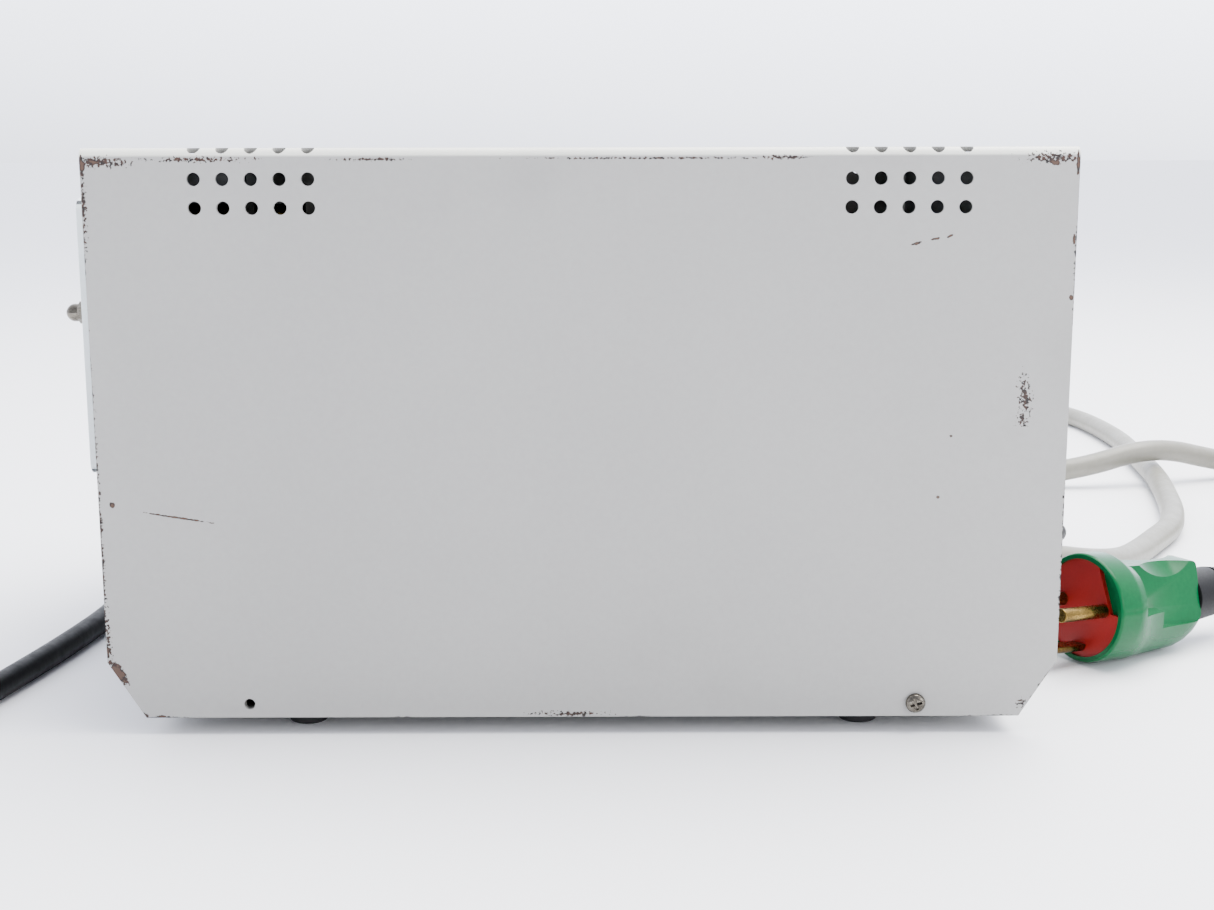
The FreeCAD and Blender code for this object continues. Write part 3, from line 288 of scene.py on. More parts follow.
def surface(name, colour, shade, roughness, cloud, grain, bump, stretch=(1, 1, 1), roughSpread=0.08, **sockets):
    # cloud and grain are the sizes, in millimetres, of the slow colour change and of the fine texture;
    # bump is the height of the fine texture in millimetres
    material = bpy.data.materials.new(name)
    material.use_nodes = True
    tree = material.node_tree
    shader = tree.nodes["Principled BSDF"]
    for label, value in sockets.items():
        shader.inputs[label.replace("_", " ")].default_value = value
    coords = addNode(tree, "ShaderNodeTexCoord").outputs["Object"]
    place = addNode(tree, "ShaderNodeMapping", {"Vector": coords, "Scale": stretch}).outputs[0]
    slow = addNode(tree, "ShaderNodeTexNoise", {"Vector": coords, "Scale": 1000 / cloud, "Detail": 3.0})
    fine = addNode(tree, "ShaderNodeTexNoise", {"Vector": place, "Scale": 1000 / grain, "Detail": 2.0})
    blend = addNode(tree, "ShaderNodeMath", {0: slow.outputs[0], 1: fine.outputs[0]}, operation="ADD")
    spread = addNode(tree, "ShaderNodeMapRange", {0: blend.outputs[0], 1: 0.7, 2: 1.3})
    tint = addNode(tree, "ShaderNodeMix", {0: spread.outputs[0], 6: toLinear(colour), 7: toLinear(shade)},
                   data_type="RGBA")
    dull = addNode(tree, "ShaderNodeMapRange", {0: blend.outputs[0], 1: 0.7, 2: 1.3,
                                                3: roughness - roughSpread, 4: roughness + roughSpread})
    relief = addNode(tree, "ShaderNodeBump", {"Height": fine.outputs[0], "Distance": bump * mm, "Strength": 1.0})
    tree.links.new(tint.outputs[2], shader.inputs["Base Color"])
    tree.links.new(dull.outputs[0], shader.inputs["Roughness"])
    tree.links.new(relief.outputs[0], shader.inputs["Normal"])
    return {"material": material, "tree": tree, "shader": shader, "coords": coords,
            "tint": tint.outputs[2], "dull": dull.outputs[0], "fine": fine.outputs[0], "slow": slow.outputs[0]}


enamel = {
    "colour": "#9d9c99",
    "shade": "#999895",
    "edgeCream": "#e2e2d8",
    "rust": "#3a2318",
    "bareSteel": "#0e0b0a",
    "chipFloor": "#4a3428",
    "grime": "#7d7b76",
    "half": (144.0, 108.0),
    "bottom": 5.5,
    "top": 176.5,
    "bend": 2.7,
    "cornerRun": 11.0,
    "cornerRise": 17.5,
    "patchScale": 42.0,
    "chipScale": 620.0,
    "speckScale": 1150.0,
    "smearScale": 24.0,
}

# marks on the near side: x, z, half length, half height in millimetres, turn in degrees
nearChips = [
    (-120.3, 67.9, 9.2, 0.3, -9), (-140.0, 71.9, 0.8, 0.8, 0), (109.5, 92.2, 0.5, 0.4, 0),
    (106.2, 73.7, 0.45, 0.45, 0), (97.5, 148.9, 1.6, 0.4, 14), (103.0, 150.2, 1.4, 0.35, 12),
    (107.0, 150.9, 1.1, 0.35, 20), (-140.9, 19.6, 4.0, 2.0, -58), (-133.8, 6.3, 1.5, 0.8, -25),
    (-143.2, 171.6, 0.9, 3.0, 0), (-140.0, 172.6, 2.2, 0.6, -4), (-128.6, 5.9, 1.6, 0.4, 0),
    (143.4, 171.6, 0.5, 3.0, 0), (136.5, 171.9, 1.6, 0.7, -8), (143.2, 150.0, 0.4, 1.4, 0),
    (143.2, 133.0, 0.5, 0.8, 0), (-143.8, 27.0, 0.4, 2.0, 6),
]
# the same, for patches of fine specks
nearScuffs = [
    (130.9, 103.5, 1.7, 5.6, 6), (130.2, 97.2, 1.3, 2.0, 0), (136.0, 173.4, 8.0, 1.3, 0), (-138.0, 172.6, 8.0, 1.4, 0),
    (-143.4, 160.0, 0.7, 12.0, 0), (-143.9, 58.0, 0.6, 40.0, 0), (-143.4, 30.0, 0.8, 9.0, 0),
    (-110.0, 173.2, 12.0, 0.7, 0), (133.5, 9.5, 1.6, 1.2, 40),
    (-4.8, 6.5, 9.5, 0.7, 0), (58.0, 173.6, 6.0, 0.5, 0), (-60.0, 173.2, 9.0, 0.4, 0), (20.0, 173.4, 30.0, 0.3, 0),
]


def stoveEnamel():
    # stove enamel on folded sheet steel: a slight orange peel, chips down to dark steel along the
    # edges and corners, scratches and scuffs where things rubbed past it
    made = surface("stoveEnamelOnSteel", enamel["colour"], enamel["shade"], 0.42, 60, 1.6, 0.012, roughSpread=0.05,
                   IOR=1.5, Coat_Weight=0.12, Coat_Roughness=0.25)
    tree, shader, coords = made["tree"], made["shader"], made["coords"]
    apart = addNode(tree, "ShaderNodeSeparateXYZ", {0: coords})
    x, y, z = apart.outputs

    def calc(operation, first, second=0.0, third=0.0):
        return addNode(tree, "ShaderNodeMath", {0: first, 1: second, 2: third}, operation=operation).outputs[0]
    toEnd = calc("SUBTRACT", enamel["half"][0] * mm, calc("ABSOLUTE", x))
    toBottom = calc("SUBTRACT", z, enamel["bottom"] * mm)
    run, rise = enamel["cornerRun"] * mm, enamel["cornerRise"] * mm
    slant = math.hypot(run, rise)
    # distance from the cut corner: 0 on the slanted edge, growing inwards
    toCorner = calc("DIVIDE", calc("SUBTRACT", calc("ADD", calc("MULTIPLY", toEnd, rise),
                                                    calc("MULTIPLY", toBottom, run)), run * rise), slant)
    edge = calc("MINIMUM", calc("MINIMUM", toEnd, toBottom), toCorner)
    overSide = calc("SUBTRACT", calc("ABSOLUTE", y), (enamel["half"][1] - enamel["bend"]) * mm)
    overTop = calc("SUBTRACT", z, (enamel["top"] - enamel["bend"]) * mm)
    toBend = calc("ABSOLUTE", calc("SUBTRACT", calc("MINIMUM", overSide, overTop), -0.3 * mm))
    edge = calc("MINIMUM", edge, calc("ADD", toBend, 0.5 * mm))
    patch = addNode(tree, "ShaderNodeTexNoise", {"Vector": coords, "Scale": enamel["patchScale"],
                                                 "Detail": 2.0}).outputs[0]
    chip = addNode(tree, "ShaderNodeTexNoise", {"Vector": coords, "Scale": enamel["chipScale"], "Detail": 4.0,
                                                "Roughness": 0.65}).outputs[0]
    speck = addNode(tree, "ShaderNodeTexNoise", {"Vector": coords, "Scale": enamel["speckScale"], "Detail": 2.0,
                                                 "Roughness": 0.6}).outputs[0]
    reach = addNode(tree, "ShaderNodeMapRange", {0: patch, 1: 0.5, 2: 0.72, 3: 0.02 * mm, 4: 1.3 * mm}).outputs[0]
    ragged = calc("MULTIPLY", reach, addNode(tree, "ShaderNodeMapRange", {0: chip, 1: 0.42, 2: 0.62}).outputs[0])
    worn = addNode(tree, "ShaderNodeMapRange", {0: calc("SUBTRACT", ragged, edge), 1: 0.0, 2: 0.15 * mm}).outputs[0]
    onNear = calc("LESS_THAN", y, -(enamel["half"][1] - 1.0) * mm)

    def nearest(patches):
        # distance to the nearest mark, 1 on its outline
        found = None
        for markX, markZ, halfLong, halfHigh, turn in patches:
            there = addNode(tree, "ShaderNodeMapping", {
                "Vector": coords, "Location": (markX * mm, 0.0, markZ * mm),
                "Rotation": (0.0, math.radians(-turn), 0.0), "Scale": (halfLong * mm, 1e6, halfHigh * mm)},
                vector_type="TEXTURE").outputs[0]
            away = addNode(tree, "ShaderNodeVectorMath", {0: there}, operation="LENGTH").outputs["Value"]
            found = away if found is None else calc("MINIMUM", found, away)
        return found
    toChip = calc("ADD", nearest(nearChips), calc("MULTIPLY_ADD", chip, 2.4, -1.15))
    inChip = addNode(tree, "ShaderNodeMapRange", {0: toChip, 1: 1.1, 2: 1.0}).outputs[0]
    deep = addNode(tree, "ShaderNodeMapRange", {0: toChip, 1: 0.72, 2: 0.5}).outputs[0]
    deep = calc("MULTIPLY", deep, onNear)
    toScuff = calc("ADD", nearest(nearScuffs), calc("MULTIPLY_ADD", speck, 5.0, -2.2))
    inScuff = addNode(tree, "ShaderNodeMapRange", {0: toScuff, 1: 1.1, 2: 0.9}).outputs[0]
    inMark = calc("MULTIPLY", calc("MAXIMUM", inChip, inScuff), onNear)
    bare = calc("MAXIMUM", worn, inMark)
    # painted highlight: a lighter cream strip along the long bend, where the overhead light falls on it
    onBend = addNode(tree, "ShaderNodeMapRange", {0: calc("MINIMUM", overSide, overTop), 1: 0.1 * mm,
                                                  2: 0.8 * mm}).outputs[0]
    cream = addNode(tree, "ShaderNodeMix", {0: onBend, 6: made["tint"], 7: toLinear(enamel["edgeCream"])},
                    data_type="RGBA").outputs[2]
    smear = addNode(tree, "ShaderNodeTexNoise", {"Vector": coords, "Scale": enamel["smearScale"],
                                                 "Detail": 5.0}).outputs[0]
    dirt = addNode(tree, "ShaderNodeMapRange", {0: smear, 1: 0.62, 2: 0.85, 3: 0.0, 4: 0.25}).outputs[0]
    # grime mixed over the enamel, which already holds the bend's painted highlight
    litAndDirty = addNode(tree, "ShaderNodeMix", {0: dirt, 6: cream, 7: toLinear(enamel["grime"])},
                    data_type="RGBA").outputs[2]
    rusty = addNode(tree, "ShaderNodeMapRange", {0: chip, 1: 0.4, 2: 0.6}).outputs[0]
    metal = addNode(tree, "ShaderNodeMix", {0: rusty, 6: toLinear(enamel["rust"]), 7: toLinear(enamel["bareSteel"])},
                    data_type="RGBA").outputs[2]
    metal = addNode(tree, "ShaderNodeMix", {0: deep, 6: metal, 7: toLinear(enamel["chipFloor"])},
                    data_type="RGBA").outputs[2]
    whole = addNode(tree, "ShaderNodeMix", {0: bare, 6: litAndDirty, 7: metal}, data_type="RGBA").outputs[2]
    tree.links.new(whole, shader.inputs["Base Color"])
    dull = addNode(tree, "ShaderNodeMix", {0: bare, 2: made["dull"], 3: 0.75}).outputs[0]
    tree.links.new(dull, shader.inputs["Roughness"])
    pit = calc("SUBTRACT", calc("MULTIPLY", made["fine"], 0.12), bare)
    relief = addNode(tree, "ShaderNodeBump", {"Height": pit, "Distance": 0.08 * mm, "Strength": 1.0})
    tree.links.new(relief.outputs[0], shader.inputs["Normal"])
    return made["material"]


def plain(name, *values, **sockets):
    return surface(name, *values, **sockets)["material"]


def frostedEdges(made, node, depth):
    # sawn edges of a clear sheet: white and dull within a hair of its sides
    tree, shader = made["tree"], made["shader"]
    low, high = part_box(node)
    apart = addNode(tree, "ShaderNodeSeparateXYZ", {0: made["coords"]})

    def calc(operation, first, second):
        return addNode(tree, "ShaderNodeMath", {0: first, 1: second}, operation=operation).outputs[0]
    toSide = calc("SUBTRACT", apart.outputs[1], low[1])
    toEnd = calc("MINIMUM", calc("SUBTRACT", apart.outputs[2], low[2]), calc("SUBTRACT", high[2], apart.outputs[2]))
    edge = addNode(tree, "ShaderNodeMapRange", {0: calc("MINIMUM", toSide, toEnd), 1: depth * mm,
                                                2: depth / 2 * mm}).outputs[0]
    clear = addNode(tree, "ShaderNodeMapRange", {0: edge, 3: 0.95, 4: 0.0})
    tree.links.new(clear.outputs[0], shader.inputs["Transmission Weight"])
    dull = addNode(tree, "ShaderNodeMapRange", {0: edge, 3: 0.06, 4: 0.6})
    tree.links.new(dull.outputs[0], shader.inputs["Roughness"])
    return made["material"]


materials = {
    "enamel": stoveEnamel(),
    # textured panel enamel: fine even grain, darker than the cover
    "panel": plain("texturedPanelEnamel", "#5b6064", "#555a5e", 0.5, 50, 0.9, 0.03, IOR=1.5),
    # zinc plate: cool grey with faint spangle and soft streaks
    "zinc": plain("zincPlatedSteel", "#92918b", "#767671", 0.36, 9, 0.5, 0.006, Metallic=1.0, roughSpread=0.12),
    # turned steel: tight rings of tool marks round the axis
    "turned": plain("turnedSteel", "#a9aaab", "#8f9091", 0.26, 12, 0.35, 0.004, stretch=(6, 1, 1), Metallic=1.0),
    # nickel plate: bright and warm, with dark patches painted in as reflections of a darker room
    "nickel": plain("nickelPlate", "#7f7a70", "#3a3631", 0.14, 3, 0.3, 0.006, Metallic=1.0, roughSpread=0.14),
    # moulded rubber: nearly black, dusty, no shine
    "rubber": plain("mouldedRubber", "#1b1b1c", "#262627", 0.78, 6, 0.4, 0.03, IOR=1.5),
    # milled and anodised aluminium: pale satin with fine lay lines
    "anodised": plain("satinAnodisedAluminium", "#969a9d", "#878a8e", 0.38, 20, 0.35, 0.008, stretch=(1, 9, 1),
                      Metallic=1.0),
    # bead-blasted aluminium: even dull sparkle
    "blasted": plain("beadBlastedAluminium", "#7f8286", "#727579", 0.52, 18, 0.45, 0.025, Metallic=1.0),
    # acetal: waxy white, slightly see-through
    "acetal": plain("whiteAcetal", "#cbcac3", "#c1c0b8", 0.4, 15, 0.6, 0.01, IOR=1.48, Subsurface_Weight=0.15,
                    Subsurface_Scale=0.002),
    # silicone tube: milky, soft gloss
    "silicone": plain("siliconeTube", "#c6c1b3", "#bab4a4", 0.34, 8, 0.8, 0.008, IOR=1.41, Transmission_Weight=0.35),
    # cast acrylic: clear with bright cut edges
    "acrylic": frostedEdges(surface("clearCastAcrylic", "#f4fafa", "#eef6f6", 0.06, 40, 5.0, 0.001,
                                    roughSpread=0.03, IOR=1.49), "head_cover", 0.8),
    # moulded ABS: fine spark-eroded grain
    "abs": plain("blackMouldedAbs", "#1c1c1e", "#232325", 0.46, 20, 0.5, 0.02, IOR=1.52),
    "redPlastic": plain("redMouldedPlastic", "#8f1414", "#a01b18", 0.3, 12, 0.8, 0.006, IOR=1.5),
    # turned brass: yellow with brown tarnish in patches
    "brass": plain("turnedBrass", "#95783d", "#4c3c1e", 0.26, 5, 0.4, 0.008, Metallic=1.0, roughSpread=0.14),
    # stacked laminations: thin dark sheets in varnish
    "laminations": plain("varnishedLaminations", "#3a3734", "#1d1b1a", 0.45, 15, 0.6, 0.06, stretch=(12, 1, 0.4),
                         Metallic=0.6),
    "tape": plain("polyesterTapeWinding", "#b88a1c", "#8f6512", 0.28, 9, 0.7, 0.03, stretch=(1, 1, 5), IOR=1.6),
    "board": plain("glassEpoxyBoard", "#124c2b", "#0e3d24", 0.35, 6, 1.2, 0.02, IOR=1.55),
    "epoxy": plain("mouldedEpoxyCases", "#1d1d20", "#28282b", 0.5, 7, 0.5, 0.015, IOR=1.5),
    "blackAnodised": plain("blackAnodisedAluminium", "#24252a", "#1c1d21", 0.42, 10, 0.4, 0.01, Metallic=0.7),
    # glossy moulded nylon of the plug: saturated green with faint flow marks
    "plugGreen": plain("greenMouldedNylon", "#00522c", "#004b28", 0.2, 14, 1.5, 0.004, roughSpread=0.05, IOR=1.5,
                       Specular_IOR_Level=0.12),
    "plugRed": plain("redMouldedNylon", "#921816", "#861514", 0.42, 9, 0.7, 0.01, IOR=1.5,
                     Specular_IOR_Level=0.25),
    "boot": plain("darkRubberBoot", "#0d0d0f", "#0a0a0c", 0.5, 8, 0.6, 0.012, IOR=1.5,
                  Specular_IOR_Level=0.15),
    # PVC sheath: satin, with the slight ripple of the strands under it
    "blackSheath": plain("blackPvcSheath", "#060607", "#09090a", 0.5, 10, 2.5, 0.05, roughSpread=0.07, IOR=1.5,
                         Specular_IOR_Level=0.1),
    "greySheath": plain("greyPvcSheath", "#7b7970", "#757369", 0.42, 14, 3.0, 0.05, roughSpread=0.05, IOR=1.53),
    "amber": plain("amberLens", "#d97a12", "#c46608", 0.15, 5, 1.0, 0.004, roughSpread=0.04, IOR=1.5,
                   Transmission_Weight=0.5),
    "paint": plain("whiteScreenInk", "#e8e8e4", "#dcdcd8", 0.55, 5, 0.4, 0.004, IOR=1.5),
}

print("materials are made")


# the two leads

mainsLead = {
    "diameter": 8.5,
    "length": 2.2,
    "out": [(153, 88, 19), (171, 88.5, 18), (190, 96, 15), (204, 114, 11), (208, 137, 7.5),
            (200, 161, 5), (182, 178, 4.4), (157, 184, 4.3), (129, 181, 4.3), (98, 171, 4.3),
            (62, 160, 4.3), (20, 156, 4.3)],
    "coilCentre": (20, 203),
    "coilRadius": 47.0,
    "coilTurns": 2,
    "back": [(20, 156, 21.8), (-10, 156.5, 20), (-42, 156, 10.5), (-75, 152, 4.8), (-112, 143, 4.3),
             (-148, 124, 4.3), (-170, 92, 4.3), (-179, 52, 4.3), (-178.5, 12, 4.3), (-182.5, -25, 4.3),
             (-188, -60, 4.3), (-195.5, -100, 4.3), (-201, -143, 4.3), (-197, -189, 4.3), (-175, -231, 4.3),
             (-136, -260, 4.3), (-83, -272, 4.3), (-25, -275, 4.3), (33, -273, 4.3), (91, -269, 4.3),
             (149, -261, 4.3), (205, -244, 4.3), (257, -216, 4.3), (301, -177, 4.3), (330, -130, 4.3),
             (346, -80, 4.3), (351, -38, 4.3), (347, -7, 4.4), (331, 16, 5), (306, 27, 7.5), (277, 22.5, 12)],
}
controlLead = {
    "diameter": 11.0,
    "length": 1.7,
    "out": [(153, 45, 19), (179, 45.5, 17.5), (202, 56, 12.5), (220, 77, 7.8), (235, 101, 5.8),
            (249, 124, 5.6), (265, 149, 5.6), (277, 183, 5.6), (287, 224, 5.6), (297, 270, 5.6),
            (304, 322, 5.6), (311, 375, 5.6), (312, 424, 5.6), (309, 466, 5.6), (296, 503, 5.6),
            (271, 530, 5.6), (237, 539, 5.6), (204, 528, 5.6), (182, 501, 5.6), (173, 465, 5.6),
            (172, 426, 5.6), (176, 389, 5.6), (184, 357, 5.6), (188.5, 329, 5.6), (195, 302.5, 5.6),
            (211, 281, 5.7), (235, 268.8, 7), (262, 267.8, 12), (286, 273, 18.4), (306, 278.5, 18.4),
            (328, 287, 12.5), (350, 295, 7.4), (374, 299.8, 5.8), (400, 299, 5.6)],
    "coilCentre": (400, 238.5),
    "coilRadius": 60.5,
    "coilTurns": 1.5,
    "back": [(400, 178, 22.3), (378, 177.3, 20.5), (356, 176, 13.5), (336, 174, 9)],
}
plug = {
    "place": (171.0, -37.3, 19.8),
    "turn": 30.0,
    "tilt": 3.5,
    "radius": 19.0,
    "rimDepth": 12.0,
    "length": 50.0,
    "rise": 2.6,
    "wall": 2.0,
    "recess": 2.6,
    "gripTop": 14.6,
    "sideHalf": 10.4,
    "sideLean": 0.27,
    "ledgeHigh": 0.0,
    "ledgeLow": 6.0,
    "stepAt": 24.5,
    "scoopRadius": 30.0,
    "scoopDepth": 2.8,
    "scoopAcross": 5.0,
    "scoopAlong": 34.0,
    "bootLength": 26.0,
    "bootRadius": 9.7,
    "bootRibs": 4,
    "bootSmooth": 0.45,
    "leadRadius": 6.2,
}
plugFrame = (Matrix.Translation(Vector(plug["place"]) * mm) @ Matrix.Rotation(math.radians(plug["turn"]), 4, "Z")
             @ Matrix.Rotation(math.radians(90 + plug["tilt"]), 4, "Y"))
bootEnd = plugFrame @ Vector((-plug["rise"] * mm, 0, (plug["length"] + plug["bootLength"]) * mm)) / mm
bootWay = plugFrame.to_3x3() @ Vector((0, 0, 1))
mainsLead["back"] += [tuple(bootEnd + bootWay * 14), tuple(bootEnd)]


def coilTurns(lead, steps=16):
    # clockwise turns that climb from the end of one stretch to the start of the next
    centreX, centreY = lead["coilCentre"]
    start, end = Vector(lead["out"][-1]), Vector(lead["back"][0])
    first = math.atan2(start.y - centreY, start.x - centreX)
    points = []
    count = int(steps * lead["coilTurns"])
    for step in range(1, count):
        turn = first - 2 * math.pi * step / steps
        points.append((centreX + lead["coilRadius"] * math.cos(turn), centreY + lead["coilRadius"] * math.sin(turn),
                       start.z + (end.z - start.z) * step / count))
    return points


def makeLead(name, lead, node, coilNode, material):
    curve = bpy.data.curves.new(name, "CURVE")
    curve.dimensions = "3D"
    curve.bevel_depth = lead["diameter"] / 2 * mm
    curve.bevel_resolution = 6
    curve.use_fill_caps = True
    spline = curve.splines.new("NURBS")
    route = lead["out"] + coilTurns(lead) + lead["back"]
    spline.points.add(len(route) - 1)
    for point, place in zip(spline.points, route):
        point.co = (place[0] * mm, place[1] * mm, place[2] * mm, 1)
    spline.order_u = 3
    spline.use_endpoint_u = True
    spline.resolution_u = 8
    piece = bpy.data.objects.new(name, curve)
    bpy.context.scene.collection.objects.link(piece)
    curve.materials.append(material)
    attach(piece, bodyOf[node])
    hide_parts(node, coilNode)
    return piece


# plug, boot and glands: pieces on the leads

def prism(name, outline, low, high, side):
    # an outline of (across, along) points, raised from low to high, leaning in towards the top
    lean = plug["sideLean"]
    corners = [(x, side * (y + lean * (x - plug["ledgeLow"])), z) for x in (low, high) for y, z in outline]
    count = len(outline)
    sides = [(i, (i + 1) % count, count + (i + 1) % count, count + i) for i in range(count)]
    mesh = bpy.data.meshes.new(name)
    mesh.from_pydata([Vector(corner) * mm for corner in corners], [],
                     sides + [tuple(range(count)), tuple(range(2 * count - 1, count - 1, -1))])
    piece = bpy.data.objects.new(name, mesh)
    bpy.context.scene.collection.objects.link(piece)
    makeActive(piece)
    bpy.ops.object.mode_set(mode="EDIT")
    bpy.ops.mesh.select_all(action="SELECT")
    bpy.ops.mesh.normals_make_consistent(inside=False)
    bpy.ops.object.mode_set(mode="OBJECT")
    return piece


def makePlugBody():
    depth, tail, top = plug["rimDepth"], plug["length"], plug["gripTop"]
    rim = plug["radius"]
    body = loft("plugBody", [
        (0, rim - 0.6), (0.5, rim - 0.15), (1.2, rim), (depth - 3, rim),
        (depth - 1.6, rim - 0.5, rim, rim - 0.1, 2), (depth, 17.2, 18.9, 18.5, 2.1),
        (depth + 2, 15.4, 18.7, 17.8, 2.5),
        (depth + 4, top + 0.2, 18.6, 17, 3.2), (depth + 7, top, 18.5, 16, 4), (depth + 12, top, 18.2, 14.8, 5),
        (depth + 20, top, 17.7, 13.6, 6), (depth + 28, top, 17.1, 12.8, 6), (tail - 6, top, 15.9, 12.2, 6),
        (tail - 3, top, 14, 11.6, 6), (tail - 1.2, top - 0.2, 12, 11, 6), (tail - 0.3, top - 0.8, 10.4, 10.4, 6),
        (tail, top - 1.6, 9.4, 9.6, 6)], steps=120)
    carve(body, loft("plugCavity", [(-1, plug["radius"] - plug["wall"]),
                                    (plug["recess"], plug["radius"] - plug["wall"])], steps=120))
    wide, far = plug["sideHalf"], 2 * plug["radius"]
    for side in (-1, 1):
        # the flat side of the grip, with its lower part set back behind a step
        for low, high, start in ((-far, plug["ledgeHigh"], depth + 1.5),
                                 (plug["ledgeHigh"] - 1, plug["ledgeLow"], plug["stepAt"])):
            outline = [(wide, start + 2.5), (wide, 2 * tail), (far, 2 * tail), (far, start - 6)]
            carve(body, prism("sideFlat", outline, low, high, side))
        # the shallow thumb scoop on the upper edge
        radius = plug["scoopRadius"]
        away = Vector((-0.72, side * 0.69, 0)) * (radius - plug["scoopDepth"])
        deselectAll()
        bpy.ops.mesh.primitive_uv_sphere_add(segments=96, ring_count=64, radius=radius * mm, location=(
            Vector((-top, side * plug["scoopAcross"], plug["scoopAlong"])) + away) * mm)
        scoop = bpy.context.object
        bakePlace(scoop)
        carve(body, scoop)
    modify(body, "BEVEL", width=0.45 * mm, segments=2, limit_method="ANGLE", angle_limit=math.radians(34))
    smooth(body, 34)
    moveTo(body, plugFrame)
    return wear(body, "plug_body", materials["plugGreen"])


def makeBoot():
    start, length = plug["length"], plug["bootLength"]
    wide, narrow = plug["bootRadius"], plug["leadRadius"]
    sections = [(start - 0.5, wide - 0.8), (start, wide)]
    ribs = plug["bootRibs"]
    smoothPart = length * plug["bootSmooth"]
    sections.append((start + smoothPart, wide - 0.6))
    for rib in range(ribs):
        along = start + smoothPart + (length - smoothPart) * rib / ribs
        radius = wide - 0.6 - (wide - narrow - 0.6) * rib / ribs
        step = (length - smoothPart) / ribs
        sections += [(along + step * 0.12, radius), (along + step * 0.2, radius - 1.0),
                     (along + step * 0.5, radius - 1.1), (along + step * 0.6, radius - 0.3)]
    sections += [(start + length - 0.6, narrow), (start + length, narrow - 0.6)]
    boot = loft("plugBoot", sections, steps=48)
    smooth(boot, 40)
    # the lead leaves the grip a little above its middle
    slope = plug["rise"] / length
    moveTo(boot, plugFrame @ Matrix(((1, 0, -slope, slope * start * mm), (0, 1, 0, 0), (0, 0, 1, 0), (0, 0, 0, 1))))
    return wear(boot, "plug_boot", materials["boot"])


gland = {
    "z": 19.0,
    "across": (88.0, 45.0),
    "leadRadius": (4.25, 5.5),
    "start": 133.0,
    "length": 20.0,
    "flange": 10.5,
    "sleeve": 9.0,
    "ribs": 5,
}


def makeGlands():
    made = []
    for across, leadRadius in zip(gland["across"], gland["leadRadius"]):
        wide, narrow = gland["sleeve"], leadRadius + 0.7
        sections = [(0, gland["flange"]), (3.2, gland["flange"]), (4, gland["flange"] - 0.8), (4.1, wide)]
        step = (gland["length"] - 5.5) / gland["ribs"]
        for rib in range(gland["ribs"]):
            along = 4.8 + step * rib
            radius = wide - (wide - narrow) * rib / gland["ribs"]
            sections += [(along, radius), (along + step * 0.5, radius - 0.4), (along + step * 0.55, radius - 1.1),
                         (along + step * 0.95, radius - 1.2)]
        sections += [(gland["length"] - 0.6, narrow), (gland["length"], narrow - 0.4)]
        piece = loft("gland", sections, steps=48)
        made.append(moveTo(piece, Matrix.Translation(Vector((gland["start"], across, gland["z"])) * mm)
                           @ Matrix.Rotation(math.radians(90), 4, "Y")))
    piece = joined(made, "cordGlands")
    smooth(piece, 40)
    return wear(piece, "cord_glands", materials["abs"])


connector = {
    "radius": 8.4,
    "grip": 24.0,
    "length": 36.0,
    "nose": 7.4,
    "socketRadius": 6.2,
    "pins": 5,
    "pinCircle": 3.6,
    "firstPin": 45.0,
    "pinStep": 67.5,
}


def makeConnector():
    start, before = Vector(controlLead["back"][-1]), Vector(controlLead["back"][-2])
    way = start - before
    way.z = 0
    wide, grip, nose = connector["radius"], connector["grip"], connector["nose"]
    shell = loft("controlConnector", [
        (0, wide - 2), (0.8, wide - 0.8), (2, wide - 0.3), (3, wide), (grip - 3, wide), (grip - 2, wide - 0.1),
        (grip - 1.4, wide - 0.8), (grip - 0.6, wide - 0.8), (grip, nose),
        (connector["length"] - 0.6, nose), (connector["length"], nose - 0.5)],
        steps=72, ripple=24, depth=0.035)
    socket = loft("socket", [(connector["length"] - 9, connector["socketRadius"]),
                             (connector["length"] + 1, connector["socketRadius"])], steps=48)
    carve(shell, socket)
    smooth(shell, 40)
    pins = []
    for step in range(connector["pins"]):
        turn = math.radians(connector["firstPin"] + connector["pinStep"] * step)
        pin = loft("contact", [(connector["grip"] + 2, 0.75), (connector["length"] - 2.4, 0.75),
                               (connector["length"] - 1.8, 0.4)], steps=16)
        across = connector["pinCircle"]
        place = Vector((across * math.cos(turn), across * math.sin(turn), 0)) * mm
        pins.append(moveTo(pin, Matrix.Translation(place)))
    contacts = joined(pins, "controlContacts")
    smooth(contacts, 40)
    place = Matrix.Translation(start * mm) @ way.to_track_quat("Z", "Y").to_matrix().to_4x4()
    moveTo(shell, place)
    moveTo(contacts, place)
    wear(contacts, "control_connector", materials["brass"], replace=False)
    return wear(shell, "control_connector", materials["abs"]), contacts


plugBody = makePlugBody()
plugFace = softened("plug_face", 0.35, materials["plugRed"])
plugPins = softened("plug_pins", 0.7, materials["brass"], segments=3)
plugBoot = makeBoot()
glands = makeGlands()
connectorShell, connectorPins = makeConnector()
makeLead("mainsLead", mainsLead, "mains_cord", "mains_coil", materials["blackSheath"])
makeLead("controlLead", controlLead, "control_cable", "control_coil", materials["greySheath"])
print("leads, plug and connector are made")


# case

screw = {
    "headRadius": 3.0,
    "headHeight": 2.0,
    "shank": 1.45,
    "shankLength": 5.0,
    "crossLength": 3.7,
    "crossWidth": 0.75,
    "crossDepth": 1.3,
    "coverX": 101.4,
    "coverZ": 9.75,
    "headY": (-40.0, 60.0),
    "headZ": (72.0, 164.0),
    "basePlateX": -139.0,
}


